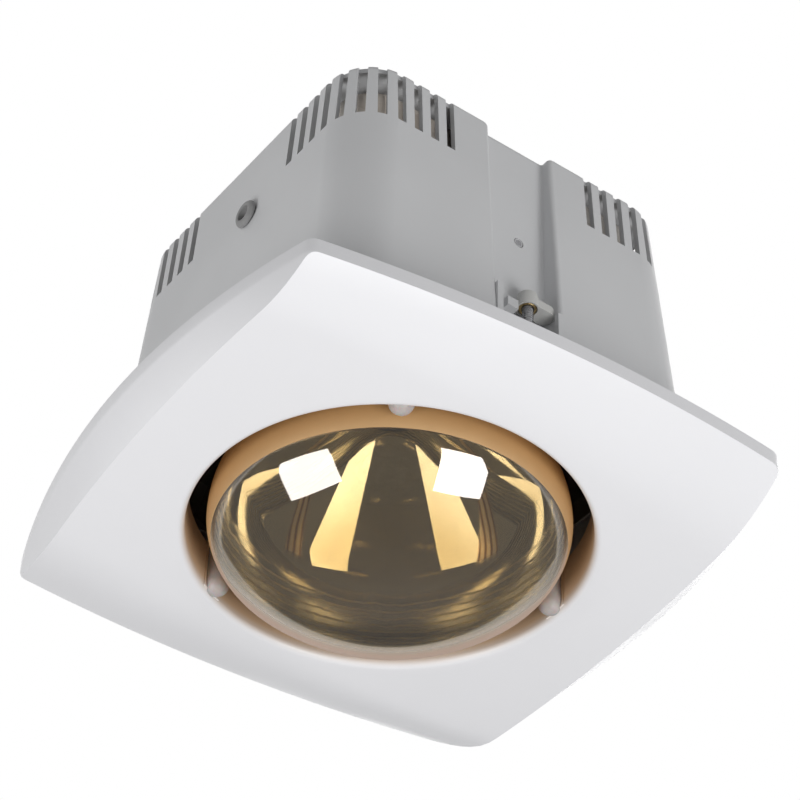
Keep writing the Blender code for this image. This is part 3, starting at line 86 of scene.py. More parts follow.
HOUSING_SHIFT = 0.0015
HOUSING_HALF_TOP = 0.0703
HOUSING_TOP = 0.1280
HOUSING_DRAFT_SLOPE = 0.0555
HOUSING_CORNER = 0.0190
HOUSING_WALL = 0.0022
HOUSING_TOP_ROUND = 0.0035
FLANGE_HALF = 0.0860
FLANGE_THICKNESS = 0.0020
MOUTH_RADIUS = 0.0742
SLOTS_PER_CORNER = 11
SLOT_PITCH = 0.0070
SLOT_WIDTH = 0.0035
SLOT_BOTTOM = 0.1007
CHANNEL_SIDE = 0.0136
CHANNEL_FLOOR = 0.0660
LEDGE_TOP = 0.0110
LIP_WIDTH = 0.0018
LIP_TOP = 0.0440
LIP_PROUD = 0.0012
LIP_DEPTH = 0.0020
STOP_WIDTH = 0.0045
STOP_DEPTH = 0.0050
STOP_HEIGHT = 0.0040
STOP_TOP = 0.0458

CLAMP_OFFSET_X = 0.0030
CLAMP_AXIS_Y = 0.0705
CLAMP_SCREW_RADIUS = 0.0020
CLAMP_SCREW_TOP = 0.0530
CLAMP_HEAD_RADIUS = 0.0034
CLAMP_HEAD_HEIGHT = 0.0023
CLAMP_THREAD_PITCH = 0.0020
DOG_ARM_BOTTOM = 0.0445
DOG_ARM_HEIGHT = 0.0040
DOG_ARM_LENGTH = 0.0105
DOG_ARM_WIDTH = 0.0068
DOG_BOSS_RADIUS = 0.0040
DOG_BOSS_TOP_RADIUS = 0.0034
DOG_BOSS_HEIGHT = 0.0062
INSERT_RADIUS = 0.0031
INSERT_HEIGHT = 0.0030

CHAMBER_SHEET = 0.0008
CHAMBER_TOP = 0.1210
SIDE_SCREW_HEIGHT = 0.0800
SIDE_SCREW_RADIUS = 0.0017
SIDE_SCREW_HEAD_RADIUS = 0.0032
SIDE_SCREW_HEAD_HEIGHT = 0.0022
SIDE_SCREW_LENGTH = 0.0080

BULB_RADIUS = 0.0625
BULB_WIDEST = -0.0068
BULB_CROWN_RADIUS = 0.0817
BULB_SHOULDER_RADIUS = 0.0200
BULB_DISH_RADIUS = 0.0367
BULB_CONE_ANGLE = math.radians(41.4)
BULB_NECK_FILLET = 0.0060
BULB_NECK_RADIUS = 0.0170
BULB_NECK_TOP = 0.0840
BULB_TAIL_START = 0.0880
BULB_TAIL_TOP = 0.0980
GLASS_THICKNESS = 0.0012
MIRROR_THICKNESS = 0.0004
MIRROR_EDGE = -0.0155
MIRROR_TOP = 0.0780
SEAM_WIDTH = 0.00005
CAP_RADIUS = 0.0131
CAP_WALL = 0.0003
CAP_BOTTOM = 0.0906
CAP_TOP = 0.1080
CAP_THREADS = 4
CAP_THREAD_DEPTH = 0.0006
INSULATOR_TOP = 0.1136
INSULATOR_TOP_RADIUS = 0.0056
TIP_RADIUS = 0.0046
TIP_TOP = 0.1165

HOLDER_RADIUS = 0.0210
HOLDER_MOUTH = 0.0820
HOLDER_MOUTH_RADIUS = 0.0178
HOLDER_MOUTH_DEPTH = 0.0085
HOLDER_BORE_RADIUS = 0.0146
HOLDER_BORE_TOP = 0.1134
HOLDER_LIP_CHAMFER = 0.0015
HOLDER_POCKET_RADIUS = 0.0062
HOLDER_BACK = 0.0020
HOLDER_SCREW_CIRCLE = 0.0130
HOLDER_SCREW_DEPTH = 0.0045
PLATE_SCREW_RADIUS = 0.0016
PLATE_SCREW_HEAD_RADIUS = 0.0032
PLATE_SCREW_HEAD_HEIGHT = 0.0020

INLET_Y = -0.0078
INLET_HEIGHT = 0.0933
INLET_BORE_RADIUS = 0.0030
INLET_BODY_RADIUS = 0.0041
INLET_FLANGE_RADIUS = 0.0054
INLET_FLANGE_THICKNESS = 0.0020
INLET_TAIL = 0.0102

# How finely the visual model is cut
SIDE_STEPS = 44
CORNER_ARC_STEPS = 8
FACE_RINGS = 22
ROUND_SEGMENTS = 160
HOUSING_CORNER_STEPS = 24
CONE_STEPS = 8
NECK_STEPS = 8
SMALL_SEGMENTS = 48
SHARP_ANGLE = math.radians(32)
BEVEL_LIMIT_ANGLE = math.radians(40)
FLAT_ENOUGH_ANGLE = math.radians(165)
# The most that a round takes of a short side
ROUND_SHARE = 0.45
IDENTITY = Matrix.Identity(4)

PLATE_UNDERSIDE = CHAMBER_TOP - CHAMBER_SHEET
HOLDER_TOP = PLATE_UNDERSIDE - GAP
COLLAR_OUTER_RADIUS = OPENING_RADIUS + COLLAR_WALL
PEG_BORE_RADIUS = PEG_RADIUS + PEG_SEAT_GAP
SNAP_RADIUS = MOUTH_RADIUS - SNAP_CLEARANCE
LEDGE_UNDERSIDE = LEDGE_TOP - HOUSING_WALL
HOUSING_INNER_TOP = HOUSING_TOP - HOUSING_WALL
CAP_INNER_RADIUS = CAP_RADIUS - CAP_THREAD_DEPTH - CAP_WALL
BULB_TAIL_RADIUS = CAP_INNER_RADIUS - GAP


# Materials

# The painted warm bounce light inside the fascia's collar grows from the opening's plane up to this level
# and is full above it
PAINTED_BOUNCE_FULL_LEVEL = -0.0100
WORN_EDGE_WIDTH = 0.0006
# The coating's painted shade deepens from the lower to the upper of these levels
COATING_SHADE_LEVELS = (-0.0160, 0.0300)
PALE_TINT_RADII = (0.0280, 0.0560)
# The two rippled, copper-toned patches of painted reflection in the mirror: between two levels in
# millimetres, the angle in degrees of each side edge at the lower and at the upper level
REFLECTION_PATCH_LEVELS = (12.5, 29.0)
REFLECTION_PATCH_EDGES = (((89.5, 99.0), (98.0, 106.0)), ((9.0, -2.0), (20.0, 5.5)))


class Nodes:
    # Builds one material's nodes. A value may be a number, a colour or another node's output.
    def __init__(self, name):
        self.material = bpy.data.materials.new(name)
        self.material.use_nodes = True
        self.tree = self.material.node_tree
        self.shader = self.tree.nodes["Principled BSDF"]
        self.coordinates = self.add("TexCoord", "Object")

    def put(self, target, value):
        if isinstance(value, bpy.types.NodeSocket):
            self.tree.links.new(value, target)
        elif target.type == "RGBA":
            target.default_value = (*value, 1.0)
        else:
            target.default_value = value

    def add(self, kind, output, inputs=None, **settings):
        node = self.tree.nodes.new("ShaderNode" + kind)
        for name, value in settings.items():
            setattr(node, name, value)
        for socket, value in (inputs or {}).items():
            self.put(node.inputs[socket], value)
        return node.outputs[output]

    def finish(self, **values):
        for name, value in values.items():
            self.put(self.shader.inputs[name.replace("_", " ")], value)
        return self.material

    def noise(self, scale, detail=3.0, roughness=0.5, distortion=0.0, vector=None):
        return self.add("TexNoise", "Fac", {
            "Vector": vector or self.coordinates,
            "Scale": scale,
            "Detail": detail,
            "Roughness": roughness,
            "Distortion": distortion,
        })

    def cells(self, scale, output="Distance"):
        return self.add("TexVoronoi", output, {"Vector": self.coordinates, "Scale": scale})

    def wave(self, scale, distortion=0.0, detail=2.0, vector=None, direction="Z"):
        return self.add("TexWave", "Fac", {
            "Vector": vector or self.coordinates,
            "Scale": scale,
            "Distortion": distortion,
            "Detail": detail,
        }, bands_direction=direction)

    def stretch(self, factors):
        return self.add("Mapping", "Vector", {"Vector": self.coordinates, "Scale": factors})

    def math(self, operation, *values):
        return self.add("Math", 0, dict(enumerate(values)), operation=operation)

    def times(self, first, *others):
        for other in others:
            first = self.math("MULTIPLY", first, other)
        return first

    def plus(self, first, *others):
        for other in others:
            first = self.math("ADD", first, other)
        return first

    def span(self, value, low, high, to_low=0.0, to_high=1.0, shape="LINEAR"):
        return self.add("MapRange", "Result", {
            "Value": value,
            "From Min": low,
            "From Max": high,
            "To Min": to_low,
            "To Max": to_high,
        }, interpolation_type=shape)

    def smooth(self, value, low, high, to_low=0.0, to_high=1.0):
        return self.span(value, low, high, to_low, to_high, "SMOOTHSTEP")

    def uneven(self, scale, low, high, detail=3.0):
        # A value that wanders between two limits over the surface
        return self.span(self.noise(scale, detail), 0.3, 0.7, low, high)

    def ramp(self, value, *stops):
        colour = self.add("ValToRGB", "Color", {"Fac": value})
        made_stops = colour.node.color_ramp.elements
        while len(made_stops) < len(stops):
            made_stops.new(0.5)
        for made, (spot, tone) in zip(made_stops, stops):
            made.position = spot
            made.color = (*tone, 1.0)
        return colour

    def mix(self, factor, first, second):
        return self.add("Mix", 2, {"Factor": factor, 6: first, 7: second}, data_type="RGBA")

    def bump(self, height, strength, distance, under=None):
        inputs = {"Strength": strength, "Distance": distance, "Height": height}
        if under:
            inputs["Normal"] = under
        return self.add("Bump", "Normal", inputs)

    def split(self, vector=None):
        return self.add("SeparateXYZ", 0, {"Vector": vector or self.coordinates}).node.outputs

    def axis_distance(self):
        x, y = self.split()[:2]
        return self.math("SQRT", self.plus(self.times(x, x), self.times(y, y)))

    def edge_wear(self):
        # Light along convex edges, from the difference between a bevelled and a plain normal
        bevel = self.add("Bevel", "Normal", {"Radius": WORN_EDGE_WIDTH}, samples=4)
        plain = self.add("NewGeometry", "Normal")
        dot = self.add("VectorMath", "Value", {0: bevel, 1: plain}, operation="DOT_PRODUCT")
        return self.smooth(dot, 0.995, 0.90)


def shade(colour, factor):
    return tuple(min(1.0, part * factor) for part in colour)


def moulded_plastic(name, colour, roughness, grain, grain_depth, cloud=0.02, gloss=0.5, painted_bounce_tone=None):
    # Moulded plastic: a fine spark-eroded grain, faint flow clouds and uneven gloss. Where
    # a warm bounce colour is given, the wall round the bulb gets painted light: a warm glow for light
    # bounced off the bulb's coating.
    n = Nodes(name)
    tone = n.ramp(n.noise(14.0, 4.0, 0.55),
                  (0.32, shade(colour, 1 - cloud)), (0.68, shade(colour, 1 + cloud)))
    speck = n.smooth(n.noise(2600.0, 1.0), 0.66, 0.80)
    tone = n.mix(n.times(speck, 0.06), tone, shade(colour, 0.86))
    if painted_bounce_tone:
        # Painted light: a warm glow on the collar's inner wall near the bulb, for light bounced off the
        # bulb's coating
        near = n.smooth(n.axis_distance(), OPENING_RADIUS + OPENING_FILLET, OPENING_RADIUS)
        deep = n.span(n.split()[2], -FASCIA_DEPTH, PAINTED_BOUNCE_FULL_LEVEL)
        tone = n.mix(n.times(near, deep), tone, painted_bounce_tone)
    normal = n.bump(n.noise(grain, 2.0, 0.6), 0.35, grain_depth)
    normal = n.bump(n.noise(22.0, 1.0), 0.25, 0.00025, normal)
    return n.finish(Base_Color=tone, Roughness=n.uneven(38.0, roughness - 0.04, roughness + 0.05),
                    Normal=normal, Specular_IOR_Level=gloss)


def worked_metal(name, colour, roughness, lines, stretch, tint=0.12, tarnish=None):
    # Drawn or turned metal: fine tool lines, cloudy tarnish and a few pits
    n = Nodes(name)
    line = n.noise(lines, 4.0, 0.65, vector=n.stretch(stretch))
    clouds = n.noise(60.0, 4.0, 0.6, 0.4)
    tone = n.ramp(clouds, (0.30, shade(colour, 1 - tint)), (0.70, shade(colour, 1 + tint)))
    if tarnish:
        spots = n.smooth(n.noise(190.0, 5.0, 0.7), 0.54, 0.70)
        tone = n.mix(n.times(spots, 0.45), tone, tarnish)
    rough = n.span(line, 0.25, 0.75, max(0.02, roughness - 0.09), roughness + 0.12)
    normal = n.bump(n.cells(900.0), 0.10, 0.00003, n.bump(line, 0.30, 0.00004))
    return n.finish(Base_Color=tone, Roughness=rough, Normal=normal, Metallic=1.0)


def silicone_material():
    # Milky, soft and slightly uneven, with light passing into it
    n = Nodes("silicone_milky")
    tone = n.ramp(n.noise(320.0, 3.0, 0.6), (0.3, (0.42, 0.385, 0.37)), (0.7, (0.50, 0.465, 0.45)))
    return n.finish(Base_Color=tone, Roughness=n.uneven(700.0, 0.30, 0.44, 2.0),
                    Normal=n.bump(n.noise(1500.0, 2.0), 0.2, 0.00005), Subsurface_Weight=0.5,
                    Subsurface_Scale=0.003, IOR=1.41)


def clear_glass_material():
    # Drawn glass: clear, with faint waves and a little haze in patches
    n = Nodes("blown_glass")
    haze = n.smooth(n.noise(30.0, 4.0, 0.6), 0.55, 0.80, 0.0, 0.02)
    waves = n.noise(26.0, 1.5, 0.4, 0.3, n.stretch((1.0, 1.0, 2.4)))
    tint = (1.0, 0.985, 0.955)
    tone = n.ramp(n.noise(9.0), (0.3, shade(tint, 0.985)), (0.7, tint))
    return n.finish(Base_Color=tone, Roughness=haze, Normal=n.bump(waves, 0.10, 0.0006),
                    Transmission_Weight=1.0, IOR=1.50)


def dome_material():
    # The bulb's front: amber glass with a hard gloss, faint waves from blowing and a little haze.
    # It thins out to a paler tint away from the middle. At the rim, where it is seen edge-on, it turns
    # tan and less clear: a painted reflection of the warm wall round it.
    n = Nodes("amber_glass")
    tint = (0.49, 0.40, 0.240)
    haze = n.smooth(n.noise(30.0, 4.0, 0.6), 0.58, 0.82, 0.0, 0.02)
    waves = n.noise(24.0, 1.5, 0.4, 0.3, n.stretch((1.0, 1.0, 2.4)))
    facing = n.add("LayerWeight", "Facing", {"Blend": 0.5})
    rim = n.smooth(facing, 0.64, 0.84)
    tone = n.ramp(n.noise(9.0), (0.3, shade(tint, 0.965)), (0.7, tint))
    tone = n.mix(n.smooth(n.axis_distance(), *PALE_TINT_RADII), tone, (0.60, 0.52, 0.37))
    # Painted reflection: a tan ring where the glass is seen edge-on
    tone = n.mix(rim, tone, (0.62, 0.43, 0.32))
    return n.finish(Base_Color=tone, Roughness=n.plus(haze, n.times(rim, 0.50)),
                    Normal=n.bump(waves, 0.05, 0.0006), Specular_Tint=(0.85, 0.68, 0.54), IOR=1.50,
                    Transmission_Weight=n.span(rim, 0.0, 1.0, 1.0, 0.08),
                    Coat_Weight=n.smooth(facing, 0.42, 0.66, 1.0, 0.0), Coat_Roughness=0.0, Coat_IOR=1.85)


def mirror_material():
    # The inside of the reflector: bright aluminium, hazy towards its edge, with fine spun rings
    # there, tinted a light gold as painted highlights, and two rippled, copper-toned patches of painted
    # reflection
    n = Nodes("mirror_inside")
    x, y, height = n.split()
    tone = n.ramp(n.noise(26.0, 4.0, 0.6, 0.5), (0.30, (0.72, 0.69, 0.63)), (0.70, (0.88, 0.85, 0.79)))
    rings = n.times(n.smooth(n.wave(110.0, 2.5), 0.70, 0.95), n.smooth(height, 0.012, 0.003))
    # Painted highlights: the spun rings are tinted a light gold
    tone = n.mix(n.times(rings, 0.7), tone, (1.0, 0.86, 0.60))

    angle = n.times(n.math("ARCTAN2", y, x), 180.0 / math.pi)
    level = n.times(height, 1000.0)
    drift = n.times(n.noise(70.0, 2.0), 5.0)
    patches = []
    stripes = []
    for low_edge, high_edge in REFLECTION_PATCH_EDGES:
        start = n.math("SUBTRACT", angle, n.span(level, *REFLECTION_PATCH_LEVELS, *low_edge))
        end = n.math("SUBTRACT", n.span(level, *REFLECTION_PATCH_LEVELS, *high_edge), angle)
        patch = n.times(n.smooth(start, -1.0, 1.0), n.smooth(end, -1.0, 1.0))
        patches.append(patch)
        stripes.append(n.times(patch, n.math("SINE", n.plus(n.times(start, 2.1), drift))))
    # Painted reflection: copper stripes across the two patches
    painted_reflection_stripes = n.ramp(n.span(n.plus(*stripes), -1.0, 1.0), (0.10, (0.30, 0.16, 0.08)),
                    (0.45, (0.90, 0.62, 0.34)), (0.80, (1.0, 0.84, 0.58)))
    band = n.times(n.smooth(level, 11.0, 14.0), n.smooth(level, 31.0, 28.0))
    painted_reflection_patch = n.times(n.math("MAXIMUM", *patches), band)
    tone = n.mix(painted_reflection_patch, tone, painted_reflection_stripes)

    haze = n.smooth(height, 0.014, -0.004, 0.0, 0.20)
    rough = n.plus(n.uneven(80.0, 0.02, 0.05), haze, n.times(rings, 0.25), n.times(painted_reflection_patch, 0.27))
    waves = n.noise(34.0, 2.0, 0.5, 0.6, n.stretch((1.0, 1.0, 0.3)))
    return n.finish(Base_Color=tone, Roughness=rough, Metallic=1.0, Normal=n.bump(waves, 0.012, 0.0008))


def coating_material():
    # The outside of the reflector seen through the glass: satin, tan to amber, darker towards the top, where
    # the darkening is painted shade
    n = Nodes("mirror_outside")
    # Painted shade: the coating darkens towards the top
    level = n.span(n.split()[2], *COATING_SHADE_LEVELS)
    tone = n.ramp(level, (0.00, (0.66, 0.42, 0.205)), (0.22, (0.62, 0.37, 0.150)),
                  (0.55, (0.57, 0.33, 0.135)), (1.00, (0.45, 0.28, 0.130)))
    patch = n.span(n.noise(90.0, 4.0, 0.6), 0.35, 0.75, 0.0, 0.18)
    return n.finish(Base_Color=n.mix(patch, tone, (0.50, 0.30, 0.14)), Metallic=0.25,
                    Roughness=n.uneven(240.0, 0.42, 0.55),
                    Normal=n.bump(n.noise(1800.0, 2.0), 0.25, 0.00003))


def ceramic_material():
    # Glazed steatite: off-white with grey specks and a soft orange-peel glaze
    n = Nodes("steatite")
    tone = n.ramp(n.noise(40.0, 4.0), (0.3, (0.74, 0.71, 0.64)), (0.7, (0.84, 0.82, 0.76)))
    specks = n.smooth(n.cells(700.0), 0.16, 0.06)
    return n.finish(Base_Color=n.mix(n.times(specks, 0.35), tone, (0.34, 0.31, 0.27)),
                    Roughness=n.uneven(120.0, 0.18, 0.34),
                    Normal=n.bump(n.noise(420.0, 2.0), 0.25, 0.00008), Coat_Weight=0.3, Coat_Roughness=0.15)


def steel_material():
    # Galvanised sheet: long rolling lines over pale crystal patches, a little heat tint
    n = Nodes("galvanised_sheet")
    spangle = n.split(n.cells(110.0, "Color"))[0]
    tone = n.ramp(spangle, (0.0, (0.40, 0.375, 0.345)), (1.0, (0.56, 0.535, 0.500)))
    heat = n.smooth(n.noise(16.0), 0.50, 0.72)
    rolling = n.noise(90.0, 4.0, 0.6, vector=n.stretch((1.0, 1.0, 14.0)))
    normal = n.bump(n.noise(26.0, 2.0), 0.4, 0.0006, n.bump(rolling, 0.35, 0.00006))
    return n.finish(Base_Color=n.mix(n.times(heat, 0.35), tone, (0.42, 0.33, 0.25)),
                    Roughness=n.span(rolling, 0.3, 0.7, 0.30, 0.48), Metallic=0.9, Normal=normal)


def wire_material(name, colour):
    # Glass-braid sleeving: a fine diagonal weave over the colour
    n = Nodes(name)
    weave = n.wave(900.0, 0.8, 1.0, direction="DIAGONAL")
    cross = n.wave(900.0, 0.8, 1.0, n.stretch((-1.0, 1.0, 1.0)), "DIAGONAL")
    braid = n.math("MAXIMUM", weave, cross)
    return n.finish(Base_Color=n.ramp(braid, (0.3, shade(colour, 0.55)), (0.8, colour)), Roughness=0.6,
                    Normal=n.bump(braid, 0.5, 0.0001))


def screw_material():
    # Zinc-plated steel, bright along its edges where the driver rubs
    n = Nodes("zinc_plated")
    tone = n.ramp(n.noise(500.0, 4.0, 0.6), (0.3, (0.16, 0.16, 0.17)), (0.7, (0.32, 0.32, 0.33)))
    tone = n.mix(n.times(n.edge_wear(), 0.6), tone, (0.72, 0.72, 0.73))
    return n.finish(Base_Color=tone, Roughness=n.uneven(900.0, 0.20, 0.36), Metallic=1.0,
                    Normal=n.bump(n.wave(2200.0, 0.5, 1.0), 0.15, 0.00002))


MATERIALS = {
    # The fascia's collar carries painted warm bounce light from the bulb
    "white_abs": moulded_plastic("gloss_white_abs", (0.80, 0.80, 0.82), 0.36, 1700.0, 0.00002, 0.008,
                                 painted_bounce_tone=(0.72, 0.55, 0.38)),
    "grey_plastic": moulded_plastic("grained_grey", (0.730, 0.735, 0.745), 0.52, 1300.0, 0.00006,
                                    0.018, 0.4),
    "clamp_plastic": moulded_plastic("nylon_white", (0.66, 0.66, 0.64), 0.46, 1500.0, 0.00004, 0.03),
    "silicone": silicone_material(),
    "steel_sheet": steel_material(),
    "zinc_screw": screw_material(),
    "clear_glass": clear_glass_material(),
    "amber_dome": dome_material(),
    "bulb_mirror": mirror_material(),
    "mirror_back": coating_material(),
    "nickel_cap": worked_metal("nickel_plate", (0.66, 0.64, 0.58), 0.26, 700.0, (1.0, 1.0, 6.0), 0.08,
                               (0.36, 0.31, 0.24)),
    "black_glass": moulded_plastic("cap_black_glass", (0.022, 0.022, 0.024), 0.18, 300.0, 0.00005, 0.2, 0.6),
    "solder": worked_metal("tin_solder", (0.56, 0.56, 0.57), 0.38, 260.0, (1.0, 1.0, 1.0), 0.1,
                           (0.34, 0.33, 0.32)),
    "tungsten": worked_metal("tungsten_coil", (0.17, 0.16, 0.155), 0.42, 3000.0, (1.0, 1.0, 1.0), 0.1),
    "lead_nickel": worked_metal("nickel_wire", (0.50, 0.48, 0.45), 0.32, 1500.0, (1.0, 1.0, 0.2), 0.08),
    "ceramic": ceramic_material(),
    "brass": worked_metal("turned_brass", (0.74, 0.56, 0.28), 0.27, 1400.0, (1.0, 1.0, 5.0), 0.08,
                          (0.42, 0.30, 0.15)),
    "black_rubber": moulded_plastic("dark_rubber", (0.30, 0.30, 0.30), 0.62, 900.0, 0.00005, 0.1, 0.35),
    "wire_brown": wire_material("braid_brown", (0.20, 0.085, 0.04)),
    "wire_blue": wire_material("braid_blue", (0.04, 0.13, 0.42)),
    "wire_green": wire_material("braid_green", (0.16, 0.42, 0.08)),
}


# Mesh helpers

def close_mesh(name, shape, smooth=True):
    bmesh.ops.remove_doubles(shape, verts=shape.verts, dist=MERGE_DISTANCE)
    bmesh.ops.dissolve_degenerate(shape, edges=shape.edges, dist=MERGE_DISTANCE)
    bmesh.ops.recalc_face_normals(shape, faces=shape.faces)
    mesh = bpy.data.meshes.new(name)
    shape.to_mesh(mesh)
    shape.free()
    if smooth:
        mesh.shade_smooth()
        mesh.set_sharp_from_angle(angle=SHARP_ANGLE)
    return mesh


def place(name, mesh, slot, body, *nodes, finish=None):
    # A finished piece: its material, the body it rides on and the CAD nodes it stands for
    item = add_item(name, mesh)
    mesh.materials.append(MATERIALS[finish or slot])
    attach(item, body)
    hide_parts(*nodes)


def place_turned(name, profile, slot, body, node, place_frame=IDENTITY, segments=SMALL_SEGMENTS,
                 finish=None):
    place(name, turned_mesh(name, profile, segments, place_frame), slot, body, node, finish=finish)


def bridge(shape, first, second):
    for index in range(len(first)):
        after = (index + 1) % len(first)
        shape.faces.new((first[index], first[after], second[after], second[index]))


def loft(shape, rings, closed=False):
    rows = [[shape.verts.new(point) for point in ring] for ring in rings]
    for first, second in zip(rows, rows[1:]):
        bridge(shape, first, second)
    if closed:
        bridge(shape, rows[-1], rows[0])
    return rows


def capped_loft(shape, rings):
    rows = loft(shape, rings)
    shape.faces.new(list(reversed(rows[0])))
    shape.faces.new(rows[-1])


def arc(centre_x, centre_y, radius_x, radius_y, start, end, steps):
    # Points on an ellipse from one angle to another, both ends included
    angles = [start + (end - start) * step / steps for step in range(steps + 1)]
    return [(centre_x + radius_x * math.cos(angle), centre_y + radius_y * math.sin(angle))
            for angle in angles]


def bend(start, corner, end, steps):
    # Points on a round from start to end that is tangent to both sides of the corner
    shares = [step / steps for step in range(steps + 1)]
    return [start.lerp(corner, share).lerp(corner.lerp(end, share), share) for share in shares]


def circle(reaches, level, place_frame=IDENTITY):
    # A ring about the axis with its radius given point by point
    ring = []
    for index, reach in enumerate(reaches):
        angle = 2 * math.pi * index / len(reaches)
        ring.append(place_frame @ Vector((reach * math.cos(angle), reach * math.sin(angle), level)))
    return ring


def at_level(points, level):
    return [Vector((point.x, point.y, level)) for point in points]


def turn_profile(shape, profile, segments, place_frame=IDENTITY):
    # Turns (radius, level) points about the axis; an end on the axis is closed by a fan
    open_start = profile[0][0] > MERGE_DISTANCE
    open_end = profile[-1][0] > MERGE_DISTANCE
    rows = loft(shape, [circle([radius] * segments, level, place_frame) for radius, level in profile
                        if radius > MERGE_DISTANCE], closed=open_start and open_end)
    for is_open, row, level in ((open_start, rows[0], profile[0][1]), (open_end, rows[-1], profile[-1][1])):
        if is_open:
            continue
        tip = shape.verts.new(place_frame @ Vector((0.0, 0.0, level)))
        for index, vertex in enumerate(row):
            shape.faces.new((vertex, row[(index + 1) % len(row)], tip))


def rounded(profile, radius, steps=4):
    # The same profile with each inner corner rounded; open ends stay where they are
    points = [Vector(point) for point in profile]
    made = [points[0]]
    for before, corner, after in zip(points, points[1:], points[2:]):
        back = before - corner
        on = after - corner
        if back.length < MERGE_DISTANCE or on.length < MERGE_DISTANCE or back.angle(on) > FLAT_ENOUGH_ANGLE:
            made.append(corner)
            continue
        reach = min(radius, ROUND_SHARE * back.length, ROUND_SHARE * on.length)
        made += bend(corner + back.normalized() * reach, corner, corner + on.normalized() * reach, steps)
    made.append(points[-1])
    return [(point.x, point.y) for point in made]


def turned_mesh(name, profile, segments, place_frame=IDENTITY):
    shape = bmesh.new()
    turn_profile(shape, profile, segments, place_frame)
    return close_mesh(name, shape)


def add_box(shape, low, high, place_frame=IDENTITY):
    rings = []
    for level in (low[2], high[2]):
        corners = ((low[0], low[1]), (high[0], low[1]), (high[0], high[1]), (low[0], high[1]))
        rings.append([place_frame @ Vector((x, y, level)) for x, y in corners])
    capped_loft(shape, rings)


def stepped(start, *steps):
    # The profile of a stepped rod from its axis: each step is a radius and the level where it ends
    profile = [(0.0, start)]
    for radius, end in steps:
        profile += [(radius, profile[-1][1]), (radius, end)]
    return profile + [(0.0, profile[-1][1])]


def add_rod(shape, radius, start, end, place_frame=IDENTITY):
    turn_profile(shape, stepped(start, (radius, end)), SMALL_SEGMENTS, place_frame)


def add_item(name, data):
    item = bpy.data.objects.new(name, data)
    bpy.context.scene.collection.objects.link(item)
    return item


def applied_mesh(item):
    graph = bpy.context.evaluated_depsgraph_get()
    done = bpy.data.meshes.new_from_object(item.evaluated_get(graph), depsgraph=graph)
    bpy.data.objects.remove(item, do_unlink=True)
    return done


def even_mesh(mesh):
    # Normals weighted by each face's area, so that long flat faces stay flat beside cuts and rounds
    item = add_item(mesh.name + "_raw", mesh)
    even = item.modifiers.new("even", "WEIGHTED_NORMAL")
    even.keep_sharp = True
    even.weight = 100
    return applied_mesh(item)


def cut_mesh(name, mesh, steps, bevel=0.0, bevel_segments=2):
    # Runs Boolean steps on a mesh, softens its edges and returns the finished mesh
    item = add_item(name + "_raw", mesh)
    tools = []
    for index, (shape, operation) in enumerate(steps):
        tool_name = f"{name}_tool_{index}"
        tools.append(add_item(tool_name, close_mesh(tool_name, shape, False)))
        step = item.modifiers.new(tool_name, "BOOLEAN")
        step.operation = operation
        step.solver = "EXACT"
        step.object = tools[-1]
    if bevel:
        soften = item.modifiers.new("soften", "BEVEL")
        soften.width = bevel
        soften.segments = bevel_segments
        soften.limit_method = "ANGLE"
        soften.angle_limit = BEVEL_LIMIT_ANGLE
    done = applied_mesh(item)
    done.name = name
    done.materials.clear()
    done.shade_smooth()
    done.set_sharp_from_angle(angle=SHARP_ANGLE)
    for tool in tools:
        bpy.data.objects.remove(tool, do_unlink=True)
    return done


def sideways_frame(x, y, level, direction):
    aim = Vector(direction).to_track_quat("Z", "X").to_matrix().to_4x4()
    return Matrix.Translation((x, y, level)) @ aim


# Fascia

FASCIA_CORNERS = {"right": 0.0050, "far": 0.0200, "left": 0.0035, "near": 0.0030}
RIM_SOFT_EDGE = 0.0005
CREASE_SHARE = 0.06
CREASE_INNER_SHARE = 0.988
RING_CROWDING = 1.25
BACK_SHARES = (0.0, 0.3, 0.55, 0.7, 0.82, 0.92, 1.0)
FILLET_STEPS = 8
PEG_EDGE_ROUND = 0.0004
SEAT_DOME_STEPS = 8
PEG_DOME_STEPS = 10


def fascia_outline(half_x, half_y, bulge_x, bulge_y):
    # Four bowed sides with round corners, anticlockwise from the near corner
    corners = list(FASCIA_CORNERS.values())
    sides = []
    for quarter in range(4):
        along_x = quarter % 2 == 0
        run, depth = (half_x, half_y) if along_x else (half_y, half_x)
        bulge = bulge_y if along_x else bulge_x
        start = 1.0 - corners[quarter - 1] / run
        end = 1.0 - corners[quarter] / run
        side = []
        for step in range(SIDE_STEPS + 1):
            share = -start + (start + end) * step / SIDE_STEPS
            side.append(Vector((run * share, -depth - bulge * (1 - share * share), 0.0)))
        turn = Matrix.Rotation(quarter * math.pi / 2, 3, "Z")
        sides.append([turn @ point for point in side])
    outline = []
    for quarter, side in enumerate(sides):
        following = sides[(quarter + 1) % 4][0]
        sign_x = 1 if quarter in (0, 1) else -1
        sign_y = 1 if quarter in (1, 2) else -1
        corner = Vector((sign_x * half_x, sign_y * half_y, 0.0))
        outline += side
        outline += bend(side[-1], corner, following, CORNER_ARC_STEPS)[1:-1]
    return outline


def face_level(x, y):
    share = max(-1.0, min(1.0, x / FASCIA_HALF_CHORD_X))
    side = -1 if y < 0 else 1
    width = ROLL_NARROW + (ROLL_WIDE - ROLL_NARROW) * (1 - side * share) / 2
    inset = FASCIA_HALF_CHORD_Y + FACE_BULGE * (1 - share * share) - abs(y)
    reach = max(0.0, min(1.0, 1.0 - inset / width))
    return -FASCIA_DEPTH + (FASCIA_DEPTH - RIM_HEIGHT) * reach * reach


def face_ring(outline, radius, share, lift):
    ring = []
    for point in outline:
        spot = (radius * point.normalized()).lerp(point, share)
        ring.append(Vector((spot.x, spot.y, face_level(spot.x, spot.y) + lift)))
    return ring


def round_ring(points, radius, level):
    return at_level([radius * point.normalized() for point in points], level)


